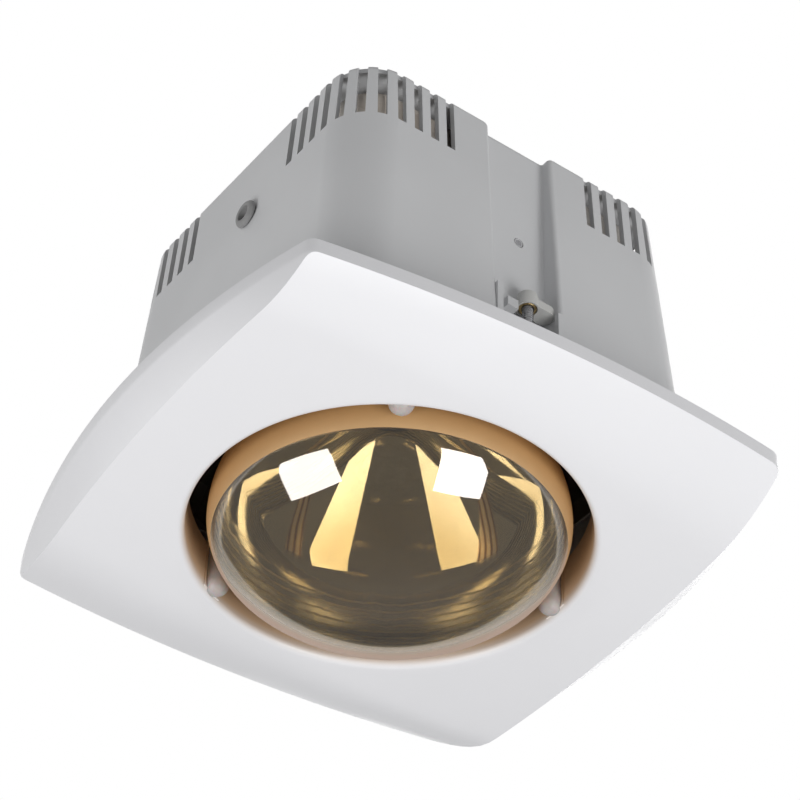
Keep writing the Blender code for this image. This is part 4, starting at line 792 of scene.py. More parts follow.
def fascia_rings():
    rim = fascia_outline(FASCIA_HALF_CHORD_X, FASCIA_HALF_CHORD_Y, CRESCENT_BULGE, FACE_BULGE)
    face = fascia_outline(FASCIA_HALF_CHORD_X, FASCIA_HALF_CHORD_Y, FACE_BULGE, FACE_BULGE)
    inner_x = FASCIA_HALF_CHORD_X - FACE_WALL
    inner_y = FASCIA_HALF_CHORD_Y - FACE_WALL
    inner_rim = fascia_outline(inner_x, inner_y, CRESCENT_BULGE, FACE_BULGE)
    inner_face = fascia_outline(inner_x, inner_y, FACE_BULGE, FACE_BULGE)
    inner_edge = [point * (1 - RIM_SOFT_EDGE / point.length) for point in rim]
    rings = [at_level(inner_edge, 0.0), at_level(rim, -RIM_SOFT_EDGE)]
    rings.append(at_level(rim, -RIM_HEIGHT + RIM_SOFT_EDGE))
    # The crease between the rim and the face's bowed facets is softened by a narrow ring
    fillet_radius = OPENING_RADIUS + OPENING_FILLET
    crease = face_ring(face, fillet_radius, 1.0, 0.0)
    rim_foot = at_level(rim, -RIM_HEIGHT)
    rings.append([foot.lerp(point, CREASE_SHARE) for foot, point in zip(rim_foot, crease)])
    shares = [1.0, CREASE_INNER_SHARE]
    shares += [1.0 - (step / FACE_RINGS) ** RING_CROWDING for step in range(1, FACE_RINGS + 1)]
    rings += [face_ring(face, fillet_radius, share, 0.0) for share in shares]
    fillet = arc(fillet_radius, OPENING_FILLET - FASCIA_DEPTH, OPENING_FILLET, OPENING_FILLET, -math.pi / 2,
                 -math.pi, FILLET_STEPS)
    for radius, level in fillet[1:] + [(OPENING_RADIUS, COLLAR_TOP), (COLLAR_OUTER_RADIUS, COLLAR_TOP)]:
        rings.append(round_ring(face, radius, level))
    rings += [face_ring(inner_face, COLLAR_OUTER_RADIUS, share, FACE_WALL) for share in BACK_SHARES]
    inner_foot = FACE_WALL / 2 - RIM_HEIGHT
    rings.append([Vector((point.x, point.y, max(inner_foot, below.z)))
                  for point, below in zip(inner_rim, rings[-1])])
    rings.append(at_level(inner_rim, 0.0))
    return rings


def peg_place(angle):
    return Matrix.Translation(PEG_CIRCLE_RADIUS * Vector((math.cos(angle), math.sin(angle), 0.0)))


def peg_dome(radius, steps):
    return arc(0.0, PEG_TIP + PEG_RADIUS, radius, radius, -math.pi / 2, 0.0, steps)


def build_fascia():
    shape = bmesh.new()
    loft(shape, fascia_rings(), closed=True)
    shape.transform(Matrix.Rotation(FASCIA_TURN_ANGLE, 4, "Z"))
    mesh = close_mesh("fascia_shell", shape)

    roof_top = PEG_ROOF_UNDERSIDE + PEG_ROOF_THICKNESS
    bosses = bmesh.new()
    for angle in PEG_ANGLES.values():
        add_rod(bosses, PEG_BORE_RADIUS + PEG_WALL, -FASCIA_DEPTH + FACE_WALL - EMBED, roof_top,
                peg_place(angle))
    snaps = bmesh.new()
    reach = math.sqrt(SNAP_RADIUS ** 2 - (SNAP_WIDTH / 2) ** 2)
    for index in range(SNAP_COUNT):
        turn = Matrix.Rotation(SNAP_FIRST_ANGLE + index * 2 * math.pi / SNAP_COUNT, 4, "Z")
        add_box(snaps, (COLLAR_OUTER_RADIUS - EMBED, -SNAP_WIDTH / 2, GAP),
                (reach, SNAP_WIDTH / 2, GAP + SNAP_HEIGHT), turn)
    bores = bmesh.new()
    trim = stepped(-FASCIA_DEPTH - CUT_OVERRUN, (OPENING_RADIUS - GAP, PEG_ROOF_UNDERSIDE),
                   (PEG_ROOF_INNER_RADIUS, roof_top + CUT_OVERRUN))
    turn_profile(bores, trim, ROUND_SEGMENTS)
    seats = bmesh.new()
    neck = (PEG_NECK_RADIUS + GAP, roof_top + CUT_OVERRUN)
    seat_profile = peg_dome(PEG_BORE_RADIUS, SEAT_DOME_STEPS)
    seat_profile += stepped(0.0, (PEG_BORE_RADIUS, PEG_ROOF_UNDERSIDE), neck)[2:]
    for angle in PEG_ANGLES.values():
        turn_profile(seats, seat_profile, SMALL_SEGMENTS, peg_place(angle))
    steps = [(bosses, "UNION"), (snaps, "UNION"), (bores, "DIFFERENCE"), (seats, "DIFFERENCE")]
    place("fascia_shell", cut_mesh("fascia_shell", mesh, steps), "white_abs", "fascia", "fascia")

    shoulder = PEG_ROOF_UNDERSIDE - GAP
    head = roof_top + GAP
    profile = peg_dome(PEG_RADIUS, PEG_DOME_STEPS) + rounded([
        (PEG_RADIUS, shoulder - GAP),
        (PEG_RADIUS, shoulder),
        (PEG_NECK_RADIUS, shoulder),
        (PEG_NECK_RADIUS, head),
        (PEG_HEAD_RADIUS, head),
        (PEG_NECK_RADIUS, head + PEG_HEAD_HEIGHT),
        (0.0, head + PEG_HEAD_HEIGHT),
    ], PEG_EDGE_ROUND)
    for name, angle in PEG_ANGLES.items():
        place_turned("bumper_peg_" + name, profile, "silicone", "fascia", "bumper_" + name,
                     peg_place(angle))


# Housing

CHANNEL_EDGE_ROUND = 0.0016
CHANNEL_FOOT_ROUND = 0.0009
CHANNEL_ROUND_SHARE = 0.4
FLANGE_SOFT_EDGE = 0.0004
HOUSING_SOFT_EDGE = 0.00028
EDGE_STEPS = 5


def housing_half(level):
    return HOUSING_HALF_TOP + HOUSING_DRAFT_SLOPE * (HOUSING_TOP - level)


def channel_side(half, corner, side_x, floor):
    # One side of the housing from its left to its right end: face, soft edge, channel and back
    sunk = half - floor if half - floor > EMBED else 0.0
    edge = min(CHANNEL_EDGE_ROUND, CHANNEL_ROUND_SHARE * sunk)
    foot = min(CHANNEL_FOOT_ROUND, CHANNEL_ROUND_SHARE * sunk)
    points = [((side_x + half - corner) / 2, half)]
    points += arc(side_x + CHANNEL_EDGE_ROUND, half - edge, CHANNEL_EDGE_ROUND, edge,
                  math.pi / 2, math.pi, EDGE_STEPS)
    points += arc(side_x - CHANNEL_FOOT_ROUND, floor + foot, CHANNEL_FOOT_ROUND, foot,
                  0.0, -math.pi / 2, EDGE_STEPS)
    left = [Vector((-x, -y, 0.0)) for x, y in points]
    right = [Vector((x, -y, 0.0)) for x, y in reversed(points)]
    return left + right


def box_outline(half, corner, notch):
    # A square with round corners; notch is the half-width and the floor of its two channels
    points = []
    for quarter in range(4):
        side_x, floor = notch if quarter % 2 == 0 else (notch[0], half)
        side = channel_side(half, corner, side_x, floor)
        bow = arc(half - corner, corner - half, corner, corner, -math.pi / 2, 0.0, HOUSING_CORNER_STEPS)
        side += [Vector((x, y, 0.0)) for x, y in bow]
        turn = Matrix.Rotation(quarter * math.pi / 2, 3, "Z")
        points += [turn @ point for point in side]
    shift = Vector((HOUSING_SHIFT, 0.0, 0.0))
    return [point + shift for point in points]


def housing_ring(level, inset, notched):
    half = housing_half(level) - inset
    notch = (CHANNEL_SIDE + inset, CHANNEL_FLOOR - inset if notched else half)
    return at_level(box_outline(half, HOUSING_CORNER - inset, notch), level)


def mouth_ring(level):
    ring = []
    for point in box_outline(MOUTH_RADIUS, HOUSING_CORNER, (CHANNEL_SIDE, MOUTH_RADIUS)):
        angle = math.atan2(point.y, point.x - HOUSING_SHIFT)
        ring.append(Vector((MOUTH_RADIUS * math.cos(angle), MOUTH_RADIUS * math.sin(angle), level)))
    return ring


def flange_ring(level, inset=0.0):
    half = FLANGE_HALF - inset
    return at_level(box_outline(half, HOUSING_CORNER - inset, (CHANNEL_SIDE, half)), level)


def housing_shell():
    shape = bmesh.new()
    rings = [
        mouth_ring(-FLANGE_THICKNESS),
        flange_ring(-FLANGE_THICKNESS, FLANGE_SOFT_EDGE),
        flange_ring(-FLANGE_THICKNESS + FLANGE_SOFT_EDGE),
        flange_ring(-FLANGE_SOFT_EDGE),
        flange_ring(0.0, FLANGE_SOFT_EDGE),
        housing_ring(0.0, 0.0, False),
        housing_ring(LEDGE_TOP, 0.0, False),
        housing_ring(LEDGE_TOP, 0.0, True),
    ]
    top_round = arc(HOUSING_TOP_ROUND, HOUSING_TOP - HOUSING_TOP_ROUND, HOUSING_TOP_ROUND,
                    HOUSING_TOP_ROUND, math.pi, math.pi / 2, FILLET_STEPS)
    rings += [housing_ring(level, inset, True) for inset, level in top_round]
    outside = loft(shape, rings)
    shape.faces.new(outside[-1])
    inside = loft(shape, [
        housing_ring(HOUSING_INNER_TOP, HOUSING_WALL, True),
        housing_ring(LEDGE_UNDERSIDE, HOUSING_WALL, True),
        housing_ring(LEDGE_UNDERSIDE, HOUSING_WALL, False),
        housing_ring(0.0, HOUSING_WALL, False),
        mouth_ring(0.0),
    ])
    shape.faces.new(inside[0])
    bridge(shape, inside[-1], outside[0])
    return shape


def outline_spot(distance):
    flat = HOUSING_HALF_TOP - HOUSING_CORNER
    half_arc = HOUSING_CORNER * math.pi / 4
    centre = Vector((flat, -flat, 0.0))
    if abs(distance) <= half_arc:
        angle = -math.pi / 4 + distance / HOUSING_CORNER
        outward = Vector((math.cos(angle), math.sin(angle), 0.0))
        return centre + HOUSING_CORNER * outward, outward
    beyond = abs(distance) - half_arc
    if distance > 0:
        return Vector((HOUSING_HALF_TOP, -flat + beyond, 0.0)), Vector((1.0, 0.0, 0.0))
    return Vector((flat - beyond, -HOUSING_HALF_TOP, 0.0)), Vector((0.0, -1.0, 0.0))


def slot_cuts(shape):
    shift = Matrix.Translation((HOUSING_SHIFT, 0.0, 0.0))
    drawn_out = HOUSING_DRAFT_SLOPE * (HOUSING_TOP - SLOT_BOTTOM) + CUT_OVERRUN
    for corner in range(4):
        turn = shift @ Matrix.Rotation(corner * math.pi / 2, 4, "Z")
        for index in range(SLOTS_PER_CORNER):
            distance = (index - (SLOTS_PER_CORNER - 1) / 2) * SLOT_PITCH
            spot, outward = outline_spot(distance)
            aim = Matrix.Rotation(math.atan2(outward.y, outward.x), 4, "Z")
            low = (-HOUSING_WALL - GAP, -SLOT_WIDTH / 2, SLOT_BOTTOM)
            high = (drawn_out, SLOT_WIDTH / 2, HOUSING_TOP + CUT_OVERRUN)
            add_box(shape, low, high, turn @ Matrix.Translation(spot) @ aim)


def faces_y():
    shift = Matrix.Translation((HOUSING_SHIFT, 0.0, 0.0))
    return {"front": shift, "rear": shift @ Matrix.Rotation(math.pi, 4, "Z")}


def clamp_spot(face):
    return face @ Matrix.Translation((CLAMP_OFFSET_X, -CLAMP_AXIS_Y, 0.0))


def side_screw_frame():
    return sideways_frame(CLAMP_OFFSET_X, -CHANNEL_FLOOR, SIDE_SCREW_HEIGHT, (0.0, -1.0, 0.0))


def inlet_frame():
    x = HOUSING_SHIFT - housing_half(INLET_HEIGHT)
    return sideways_frame(x, INLET_Y, INLET_HEIGHT, (-1.0, 0.0, 0.0))


def build_housing():
    added = bmesh.new()
    cuts = bmesh.new()
    front = housing_half(LIP_TOP) + LIP_PROUD
    stop_right = CLAMP_OFFSET_X - DOG_BOSS_RADIUS - GAP
    for face in faces_y().values():
        for side in (-1, 1):
            edges = sorted((side * (CHANNEL_SIDE + EMBED), side * (CHANNEL_SIDE - LIP_WIDTH)))
            add_box(added, (edges[0], -front, LEDGE_TOP - EMBED),
                    (edges[1], -front + LIP_DEPTH, LIP_TOP), face)
        add_box(added, (stop_right - STOP_WIDTH, -CHANNEL_FLOOR - STOP_DEPTH, STOP_TOP - STOP_HEIGHT),
                (stop_right, -CHANNEL_FLOOR + EMBED, STOP_TOP), face)
    slot_cuts(cuts)
    for face in faces_y().values():
        add_rod(cuts, CLAMP_SCREW_RADIUS + GAP, LEDGE_UNDERSIDE - CUT_OVERRUN, LEDGE_TOP + CUT_OVERRUN,
                clamp_spot(face))
        add_rod(cuts, SIDE_SCREW_RADIUS + GAP, -HOUSING_WALL - GAP / 2, CUT_OVERRUN,
                face @ side_screw_frame())
    add_rod(cuts, INLET_BODY_RADIUS + GAP, -HOUSING_WALL - CUT_OVERRUN / 2, CUT_OVERRUN, inlet_frame())
    mesh = close_mesh("housing_shell", housing_shell())
    done = cut_mesh("housing_shell", mesh, [(added, "UNION"), (cuts, "DIFFERENCE")], HOUSING_SOFT_EDGE)
    place("housing_shell", even_mesh(done), "grey_plastic", "housing", "housing")


# Screws, clamps and the inlet

CROSS_TURN = math.radians(20)
RECESS_OVERRUN = 0.0004
# Shares of the recess's radius: its arms' half-widths at the top and the floor, and the floor's reach
RECESS_TOP_SHARE = 0.24
RECESS_FLOOR_SHARE = 0.13
RECESS_TIP_SHARE = 0.35
# Shares of a head: the recess's radius and depth, and the height of the crown
RECESS_REACH = 0.62
PAN_RECESS_DEPTH = 0.55
CLAMP_RECESS_DEPTH = 0.60
HEAD_CROWN_SHARE = 0.45
THREAD_DEPTH_SHARE = 0.12
HEAD_STEPS = 8
ROD_TIP_STEPS = 6
ARM_END_STEPS = 24
THREAD_ROWS = 10
CLAMP_THREAD_ROWS = 14
HEAD_EDGE = 0.0002
HEAD_STUB = 0.0004
SCREW_PITCH = 0.0007
CLAMP_THREAD_DEPTH = 0.00028
CLAMP_HEAD_ROUND = 0.0008
DOG_SOFT_EDGE = 0.00035
INSERT_EDGE_ROUND = 0.0003
INSERT_SEAM = 0.0001
INLET_EDGE_ROUND = 0.0005


def cross_recess(shape, top, radius, depth, place_frame, downwards=1):
    # A cross recess: two crossed wedges sunk from the head's top
    for quarter in range(2):
        turn = Matrix.Rotation(quarter * math.pi / 2 + CROSS_TURN, 4, "Z")
        tip = (RECESS_TIP_SHARE * radius, RECESS_FLOOR_SHARE * radius, top - downwards * depth)
        mouth = (radius, RECESS_TOP_SHARE * radius, top + downwards * RECESS_OVERRUN)
        rings = []
        for half_x, half_y, level in (tip, mouth):
            corners = ((-half_x, -half_y), (half_x, -half_y), (half_x, half_y), (-half_x, half_y))
            rings.append([place_frame @ turn @ Vector((x, y, level)) for x, y in corners])
        capped_loft(shape, rings)


def threaded(shape, radius, depth, pitch, start, end, segments, place_frame, rows=THREAD_ROWS):
    # A helical thread between two levels, closed by flat ends
    count = max(2, int((end - start) / pitch * rows))
    rings = []
    for row in range(count + 1):
        level = start + (end - start) * row / count
        fade = max(0.0, min(1.0, (level - start) / pitch, (end - level) / pitch))
        crests = [abs(2 * ((level / pitch - index / segments) % 1.0) - 1) for index in range(segments)]
        rings.append(circle([radius - depth * fade * (1 - crest) for crest in crests], level, place_frame))
    capped_loft(shape, rings)


def screw_mesh(name, radius, head_radius, head_start, head_height, tip, place_frame):
    # A pan head with a cross recess; the head stands on the far side of head_start from the tip
    up = 1 if head_start > tip else -1
    top = head_start + up * head_height
    crown = up * HEAD_CROWN_SHARE * head_height
    stub_end = head_start - up * HEAD_STUB
    profile = arc(0.0, top - crown, head_radius, crown, math.pi / 2, 0.0, HEAD_STEPS) + [
        (head_radius, head_start + up * HEAD_EDGE),
        (head_radius - HEAD_EDGE, head_start),
        (radius, head_start),
        (radius, stub_end),
        (0.0, stub_end),
    ]
    recess = bmesh.new()
    cross_recess(recess, top, RECESS_REACH * head_radius, PAN_RECESS_DEPTH * head_height,
                 place_frame, up)
    mesh = cut_mesh(name, turned_mesh(name, profile, SMALL_SEGMENTS, place_frame), [(recess, "DIFFERENCE")])
    joined = bmesh.new()
    joined.from_mesh(mesh)
    threaded(joined, radius, THREAD_DEPTH_SHARE * radius, SCREW_PITCH, *sorted((stub_end, tip)),
             SMALL_SEGMENTS // 2, place_frame)
    return close_mesh(name, joined)


def build_screws():
    for name, face in faces_y().items():
        mesh = screw_mesh("pan_screw_" + name, SIDE_SCREW_RADIUS, SIDE_SCREW_HEAD_RADIUS, GAP,
                          SIDE_SCREW_HEAD_HEIGHT, GAP - SIDE_SCREW_LENGTH, face @ side_screw_frame())
        place("pan_screw_" + name, mesh, "zinc_screw", "housing", "chamber_screw_" + name)
    for node in ("lampholder_screw_left", "lampholder_screw_right", "terminal_block_screw", "earth_screw"):
        low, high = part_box(node)
        head_start, tip = CHAMBER_TOP + GAP, low.z
        if node == "earth_screw":
            head_start, tip = low.z + PLATE_SCREW_HEAD_HEIGHT, high.z
        spot = Matrix.Translation(((low.x + high.x) / 2, (low.y + high.y) / 2, 0.0))
        mesh = screw_mesh("cross_" + node, PLATE_SCREW_RADIUS, PLATE_SCREW_HEAD_RADIUS, head_start,
                          PLATE_SCREW_HEAD_HEIGHT, tip, spot)
        place("cross_" + node, mesh, "zinc_screw", "housing", node)


def build_clamp_screw(name, spot):
    head_top = LEDGE_UNDERSIDE - GAP
    head_bottom = head_top - CLAMP_HEAD_HEIGHT
    head = stepped(head_bottom, (CLAMP_HEAD_RADIUS, head_top), (CLAMP_SCREW_RADIUS, head_top + EMBED))
    recess = bmesh.new()
    cross_recess(recess, head_bottom, RECESS_REACH * CLAMP_HEAD_RADIUS,
                 CLAMP_RECESS_DEPTH * CLAMP_HEAD_HEIGHT, spot, -1)
    mesh = turned_mesh("clamp_rod_" + name, rounded(head, CLAMP_HEAD_ROUND), SMALL_SEGMENTS, spot)
    joined = bmesh.new()
    joined.from_mesh(cut_mesh("clamp_rod_" + name, mesh, [(recess, "DIFFERENCE")]))
    tip_start = CLAMP_SCREW_TOP - CLAMP_SCREW_RADIUS
    threaded(joined, CLAMP_SCREW_RADIUS, CLAMP_THREAD_DEPTH, CLAMP_THREAD_PITCH / 2, LEDGE_TOP, tip_start,
             SMALL_SEGMENTS, spot, CLAMP_THREAD_ROWS)
    add_rod(joined, CLAMP_SCREW_RADIUS, head_top + EMBED, LEDGE_TOP, spot)
    tip = arc(0.0, tip_start, CLAMP_SCREW_RADIUS, CLAMP_SCREW_RADIUS, 0.0, math.pi / 2, ROD_TIP_STEPS)
    turn_profile(joined, [(0.0, tip_start)] + tip, SMALL_SEGMENTS, spot)
    place("clamp_rod_" + name, close_mesh("clamp_rod_" + name, joined), "zinc_screw",
          "clamp_screw_" + name, "clamp_screw_" + name)


def build_clamp(name, face):
    spot = clamp_spot(face)
    build_clamp_screw(name, spot)

    arm_top = DOG_ARM_BOTTOM + DOG_ARM_HEIGHT
    boss_top = DOG_ARM_BOTTOM + DOG_BOSS_HEIGHT
    boss = [
        (0.0, DOG_ARM_BOTTOM),
        (DOG_BOSS_RADIUS, DOG_ARM_BOTTOM),
        (DOG_BOSS_RADIUS, arm_top),
        (DOG_BOSS_TOP_RADIUS, boss_top),
        (0.0, boss_top),
    ]
    half_width = DOG_ARM_WIDTH / 2
    end = arc(DOG_ARM_LENGTH - half_width, 0.0, half_width, half_width, -math.pi / 2, math.pi / 2,
              ARM_END_STEPS)
    outline = [Vector((x, y, 0.0)) for x, y in [(0.0, -half_width)] + end + [(0.0, half_width)]]
    arm = bmesh.new()
    capped_loft(arm, [[spot @ point for point in at_level(outline, level)]
                      for level in (DOG_ARM_BOTTOM, arm_top - EMBED)])
    insert_top = DOG_ARM_BOTTOM + INSERT_HEIGHT
    screw_bore = CLAMP_SCREW_RADIUS + GAP
    bore = bmesh.new()
    turn_profile(bore, stepped(DOG_ARM_BOTTOM - CUT_OVERRUN, (INSERT_RADIUS + GAP, insert_top + GAP),
                               (screw_bore, boss_top + CUT_OVERRUN)), SMALL_SEGMENTS, spot)
    dog = cut_mesh("swing_dog_" + name, turned_mesh("swing_dog_" + name, boss, SMALL_SEGMENTS, spot),
                   [(arm, "UNION"), (bore, "DIFFERENCE")], DOG_SOFT_EDGE, 3)
    place("swing_dog_" + name, dog, "clamp_plastic", "clamp_dog_" + name, "clamp_dog_" + name)

    insert = rounded([
        (screw_bore, DOG_ARM_BOTTOM + INSERT_SEAM),
        (screw_bore, DOG_ARM_BOTTOM),
        (INSERT_RADIUS, DOG_ARM_BOTTOM),
        (INSERT_RADIUS, insert_top),
        (screw_bore, insert_top),
        (screw_bore, insert_top - INSERT_SEAM),
    ], INSERT_EDGE_ROUND)
    place_turned("nut_" + name, insert, "brass", "clamp_insert_" + name, "clamp_insert_" + name, spot)


def build_inlet():
    seat = GAP + HOUSING_DRAFT_SLOPE * INLET_FLANGE_RADIUS
    inner_end = -HOUSING_WALL - INLET_TAIL
    middle = (seat + inner_end) / 2
    front = seat + INLET_FLANGE_THICKNESS
    bush = rounded([
        (INLET_BORE_RADIUS, middle),
        (INLET_BORE_RADIUS, front),
        (INLET_FLANGE_RADIUS - INLET_FLANGE_THICKNESS / 2, front),
        (INLET_FLANGE_RADIUS, seat + INLET_FLANGE_THICKNESS / 2),
        (INLET_FLANGE_RADIUS, seat),
        (INLET_BODY_RADIUS, seat),
        (INLET_BODY_RADIUS, inner_end),
        (INLET_BORE_RADIUS, inner_end),
        (INLET_BORE_RADIUS, middle - GAP),
    ], INLET_EDGE_ROUND)
    place_turned("inlet_bush", bush, "black_rubber", "housing", "cable_bush", inlet_frame())


# Bulb

BULB_TAIL_ROUND = 0.0040
INSULATOR_ROUND = 0.0008
TIP_ROUND = 0.0009
HOLDER_ROUND = 0.0009
CAP_SEGMENTS = 96
CAP_ROWS_PER_TURN = 14


def bulb_outer_profile(crown_steps, shoulder_steps, back_steps):
    # Crown, shoulder, dish, cone and neck, from the middle of the dome to the tail inside the cap
    shoulder_x = BULB_RADIUS - BULB_SHOULDER_RADIUS
    crown_drop = math.sqrt((BULB_CROWN_RADIUS - BULB_SHOULDER_RADIUS) ** 2 - shoulder_x ** 2)
    meet = math.atan2(shoulder_x, crown_drop) - math.pi / 2
    points = arc(0.0, BULB_WIDEST + crown_drop, BULB_CROWN_RADIUS, BULB_CROWN_RADIUS, -math.pi / 2, meet,
                 crown_steps)
    points += arc(shoulder_x, BULB_WIDEST, BULB_SHOULDER_RADIUS, BULB_SHOULDER_RADIUS, meet, 0.0,
                  shoulder_steps)[1:]
    points += arc(BULB_RADIUS - BULB_DISH_RADIUS, BULB_WIDEST, BULB_DISH_RADIUS, BULB_DISH_RADIUS, 0.0,
                  BULB_CONE_ANGLE, back_steps)[1:]
    cone_top = Vector(points[-1])
    cone_height = (cone_top.x - BULB_NECK_RADIUS) / math.tan(BULB_CONE_ANGLE)
    corner = Vector((BULB_NECK_RADIUS, cone_top.y + cone_height))
    before = corner.lerp(cone_top, BULB_NECK_FILLET / (cone_top - corner).length)
    after = corner + Vector((0.0, BULB_NECK_FILLET))
    cone = [cone_top.lerp(before, step / CONE_STEPS) for step in range(1, CONE_STEPS)]
    points += [(point.x, point.y) for point in cone + bend(before, corner, after, NECK_STEPS)]
    neck = [points.pop(), (BULB_NECK_RADIUS - GLASS_THICKNESS / 2, BULB_NECK_TOP),
            (BULB_TAIL_RADIUS, BULB_TAIL_START), (BULB_TAIL_RADIUS, BULB_TAIL_TOP)]
    return points + rounded(neck, BULB_TAIL_ROUND, 5)


def drawn_in(profile, inset):
    moved = []
    for index, (radius, level) in enumerate(profile):
        before = profile[max(index - 1, 0)]
        after = profile[min(index + 1, len(profile) - 1)]
        run = Vector((after[0] - before[0], after[1] - before[1])).normalized()
        if index == 0:
            moved.append((0.0, level + inset))
        elif index == len(profile) - 1:
            moved.append((radius - inset, level))
        else:
            moved.append((radius - inset * run.y, level + inset * run.x))
    return moved


def build_bulb():
    # The clear dome ends where the coating starts; behind it the wall is coated on both sides
    outer = bulb_outer_profile(crown_steps=20, shoulder_steps=26, back_steps=28)
    inner = drawn_in(outer, GLASS_THICKNESS)
    front = [index for index in range(len(outer)) if outer[index][0] > BULB_RADIUS / 2]
    edge = min(front, key=lambda index: abs(outer[index][1] - MIRROR_EDGE))
    dome = outer[:edge + 1] + list(reversed(inner[:edge + 1]))
    place_turned("bulb_dome", dome, "clear_glass", "bulb", "bulb_glass", segments=ROUND_SEGMENTS,
                 finish="amber_dome")

    wall = outer[edge:] + list(reversed(inner[edge:]))
    for end in (0, -1):
        wall[end] = (wall[end][0], wall[end][1] + SEAM_WIDTH)
    place_turned("bulb_coated_wall", wall, "clear_glass", "bulb", "bulb_glass", segments=ROUND_SEGMENTS,
                 finish="mirror_back")

    inset = GLASS_THICKNESS + GAP
    lining, backing = ([point for point in drawn_in(outer, depth)[edge:] if point[1] < MIRROR_TOP]
                       for depth in (inset, inset + MIRROR_THICKNESS))
    count = min(len(lining), len(backing))
    shell = lining[:count] + list(reversed(backing[:count]))
    place_turned("reflector_lining", shell, "bulb_mirror", "bulb", "bulb_mirror", segments=ROUND_SEGMENTS)


def build_cap():
    pitch = (CAP_TOP - CAP_BOTTOM) / CAP_THREADS
    rings = []
    for row in range(CAP_THREADS * CAP_ROWS_PER_TURN + 1):
        level = CAP_BOTTOM + pitch * row / CAP_ROWS_PER_TURN
        fade = max(0.0, min(1.0, 2 * (level - CAP_BOTTOM) / pitch, 2 * (CAP_TOP - level) / pitch))
        reaches = []
        for index in range(CAP_SEGMENTS):
            phase = 2 * math.pi * ((level - CAP_BOTTOM) / pitch - index / CAP_SEGMENTS)
            reaches.append(CAP_RADIUS - CAP_THREAD_DEPTH * fade * (1 + math.cos(phase)) / 2)
        rings.append(circle(reaches, level))
    rings += [circle([CAP_INNER_RADIUS] * CAP_SEGMENTS, level) for level in (CAP_TOP, CAP_BOTTOM)]
    shape = bmesh.new()
    loft(shape, rings, closed=True)
    place("cap_thread", close_mesh("cap_thread", shape), "nickel_cap", "bulb", "bulb_cap_shell")

    insulator = rounded([
        (0.0, CAP_TOP + GAP),
        (CAP_INNER_RADIUS, CAP_TOP + GAP),
        (INSULATOR_TOP_RADIUS, INSULATOR_TOP),
        (0.0, INSULATOR_TOP),
    ], INSULATOR_ROUND)
    place_turned("cap_glass", insulator, "black_glass", "bulb", "bulb_cap_insulator")
    tip = rounded([
        (0.0, INSULATOR_TOP + GAP),
        (TIP_RADIUS, INSULATOR_TOP + GAP),
        (TIP_RADIUS, (INSULATOR_TOP + TIP_TOP) / 2),
        (TIP_RADIUS / 2, TIP_TOP),
        (0.0, TIP_TOP),
    ], TIP_ROUND)
    place_turned("cap_tip", tip, "solder", "bulb", "bulb_cap_contact")


def build_lampholder():
    pocket_top = HOLDER_TOP - HOLDER_BACK
    profile = rounded([
        (0.0, HOLDER_TOP),
        (HOLDER_RADIUS - HOLDER_LIP_CHAMFER, HOLDER_TOP),
        (HOLDER_RADIUS, HOLDER_TOP - HOLDER_LIP_CHAMFER),
        (HOLDER_RADIUS, HOLDER_MOUTH + HOLDER_LIP_CHAMFER),
        (HOLDER_RADIUS - HOLDER_LIP_CHAMFER, HOLDER_MOUTH),
        (HOLDER_MOUTH_RADIUS, HOLDER_MOUTH),
        (HOLDER_MOUTH_RADIUS, HOLDER_MOUTH + HOLDER_MOUTH_DEPTH),
        (HOLDER_BORE_RADIUS, HOLDER_MOUTH + HOLDER_MOUTH_DEPTH),
        (HOLDER_BORE_RADIUS, HOLDER_BORE_TOP),
        (HOLDER_POCKET_RADIUS, HOLDER_BORE_TOP),
        (HOLDER_POCKET_RADIUS, pocket_top),
        (0.0, pocket_top),
    ], HOLDER_ROUND)
    cuts = bmesh.new()
    for side in (-1, 1):
        add_rod(cuts, PLATE_SCREW_RADIUS + GAP, HOLDER_TOP - HOLDER_SCREW_DEPTH - GAP,
                HOLDER_TOP + CUT_OVERRUN, Matrix.Translation((0.0, side * HOLDER_SCREW_CIRCLE, 0.0)))
    mesh = turned_mesh("holder_body", profile, CAP_SEGMENTS)
    done = cut_mesh("holder_body", mesh, [(cuts, "DIFFERENCE")])
    place("holder_body", done, "ceramic", "housing", "lampholder_body")


# CAD nodes whose own meshes are kept with softer edges: the slot and the softening of each
SOFTENED = {
    "terminal_block": ("ceramic", 0.0006),
    "earth_tag": ("brass", 0.00015),
    "cable_bush_nut": ("grey_plastic", 0.0004),
}


def build_small_pieces():
    for node, (slot, soft_edge) in SOFTENED.items():
        name = node + "_soft"
        shape = bmesh.new()
        shape.from_mesh(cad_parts[node].data)
        place(name, cut_mesh(name, close_mesh(name, shape), [], soft_edge), slot, "housing", node)


# CAD nodes that stay, and the finish of each

KEPT = {
    "lamp_chamber": "steel_sheet",
    "lampholder_shell": "brass",
    "lampholder_contact": "brass",
    "terminal_screw_live": "brass",
    "terminal_screw_neutral": "brass",
    "terminal_screw_earth": "brass",
    "live_wire": "wire_brown",
    "neutral_wire": "wire_blue",
    "earth_wire": "wire_green",
    "bulb_stem": "clear_glass",
    "filament": "tungsten",
    "filament_lead_left": "lead_nickel",
    "filament_lead_right": "lead_nickel",
}


def finish_kept_nodes():
    for node, slot in KEPT.items():
        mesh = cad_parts[node].data
        mesh.materials.clear()
        mesh.materials.append(MATERIALS[slot])


# Light, stage and camera

FLOOR_HALF = 60.0
FLOOR_LEVEL = -1.5
WORLD_LIGHT = 0.22


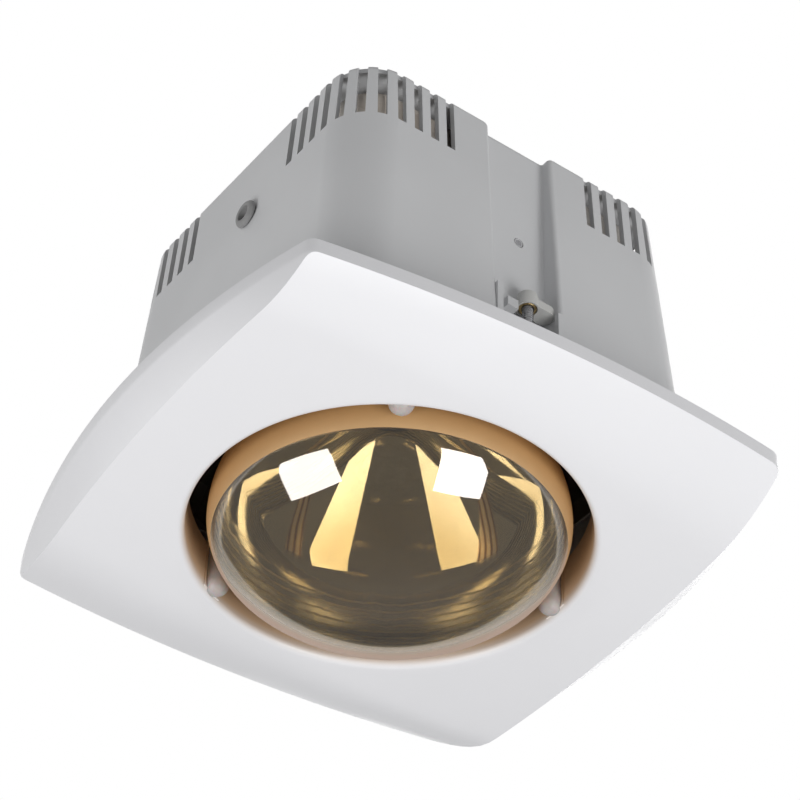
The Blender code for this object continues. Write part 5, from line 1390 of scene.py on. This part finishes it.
def build_stage():
    floor_mesh = bpy.data.meshes.new("floor")
    corners = [(x * FLOOR_HALF, y * FLOOR_HALF, 0.0) for x, y in ((-1, -1), (1, -1), (1, 1), (-1, 1))]
    floor_mesh.from_pydata(corners, [], [(0, 1, 2, 3)])
    floor = add_item("floor", floor_mesh)
    floor.location = (0.0, 0.0, FLOOR_LEVEL)
    n = Nodes("pale_floor")
    tone = n.ramp(n.noise(3.0), (0.3, (0.84, 0.84, 0.84)), (0.7, (0.88, 0.88, 0.88)))
    floor_mesh.materials.append(n.finish(Base_Color=tone, Roughness=0.8))


def build_world():
    # White behind the object, also in metal and glass, and a dimmer light on the object
    world = bpy.data.worlds.new("plain")
    bpy.context.scene.world = world
    world.use_nodes = True
    tree = world.node_tree
    background = tree.nodes["Background"]
    background.inputs["Color"].default_value = (1.0, 1.0, 1.0, 1.0)
    rays = tree.nodes.new("ShaderNodeLightPath")
    seen = rays.outputs["Is Camera Ray"]
    for kind in ("Is Transmission Ray", "Is Glossy Ray"):
        either = tree.nodes.new("ShaderNodeMath")
        either.operation = "MAXIMUM"
        tree.links.new(seen, either.inputs[0])
        tree.links.new(rays.outputs[kind], either.inputs[1])
        seen = either.outputs[0]
    strength = tree.nodes.new("ShaderNodeMapRange")
    strength.inputs["To Min"].default_value = WORLD_LIGHT
    strength.inputs["To Max"].default_value = 1.0
    tree.links.new(seen, strength.inputs["Value"])
    tree.links.new(strength.outputs["Result"], background.inputs["Strength"])


def soft_light(name, centre, along, size_x, size_y, radiance):
    # A rectangle of light that faces the origin, with its first side along the given direction
    data = bpy.data.lights.new(name, "AREA")
    data.shape = "RECTANGLE"
    data.size = size_x
    data.size_y = size_y
    data.energy = radiance * math.pi * size_x * size_y
    light = add_item(name, data)
    outward = Vector(centre).normalized()
    first = Vector(along)
    first = (first - first.dot(outward) * outward).normalized()
    turn = Matrix((first, outward.cross(first), outward)).transposed().to_4x4()
    light.matrix_world = Matrix.Translation(centre) @ turn


def build_lights():
    soft_light("softbox_left", (-0.7036, 0.0922, -0.6367), (0.060, -0.460, -0.148), 0.487, 0.445, 6.3)
    soft_light("softbox_right", (0.1993, -0.6653, -0.6552), (0.380, -0.022, 0.150), 0.410, 0.546, 7.6)
    soft_light("fill_above", (1.10, 1.10, 1.30), (1.0, -1.0, 0.0), 2.0, 1.6, 1.7)


# The camera that was fitted to the photograph
CAMERA_LENS = 126.0
CAMERA_SENSOR = 36.0
CAMERA_PLACE = (-0.42693, -0.60634, -0.61013)
CAMERA_RIGHT = Vector((0.80359948, -0.59471778, 0.02320879))
CAMERA_UP = Vector((-0.4098047, -0.52461879, 0.74621393))
CAMERA_FORWARD = Vector((0.43161092, 0.60916819, 0.66530153))


def build_camera():
    data = bpy.data.cameras.new("camera")
    data.lens = CAMERA_LENS
    data.sensor_width = CAMERA_SENSOR
    camera = add_item("camera", data)
    turn = Matrix((CAMERA_RIGHT, CAMERA_UP, -CAMERA_FORWARD)).transposed().to_4x4()
    camera.matrix_world = Matrix.Translation(CAMERA_PLACE) @ turn
    bpy.context.scene.camera = camera


def main():
    bpy.context.scene.view_settings.view_transform = "Standard"
    build_camera()
    build_fascia()
    build_housing()
    build_screws()
    for name, face in faces_y().items():
        build_clamp(name, face)
    build_inlet()
    build_bulb()
    build_cap()
    build_lampholder()
    build_small_pieces()
    finish_kept_nodes()
    build_stage()
    build_world()
    build_lights()


main()
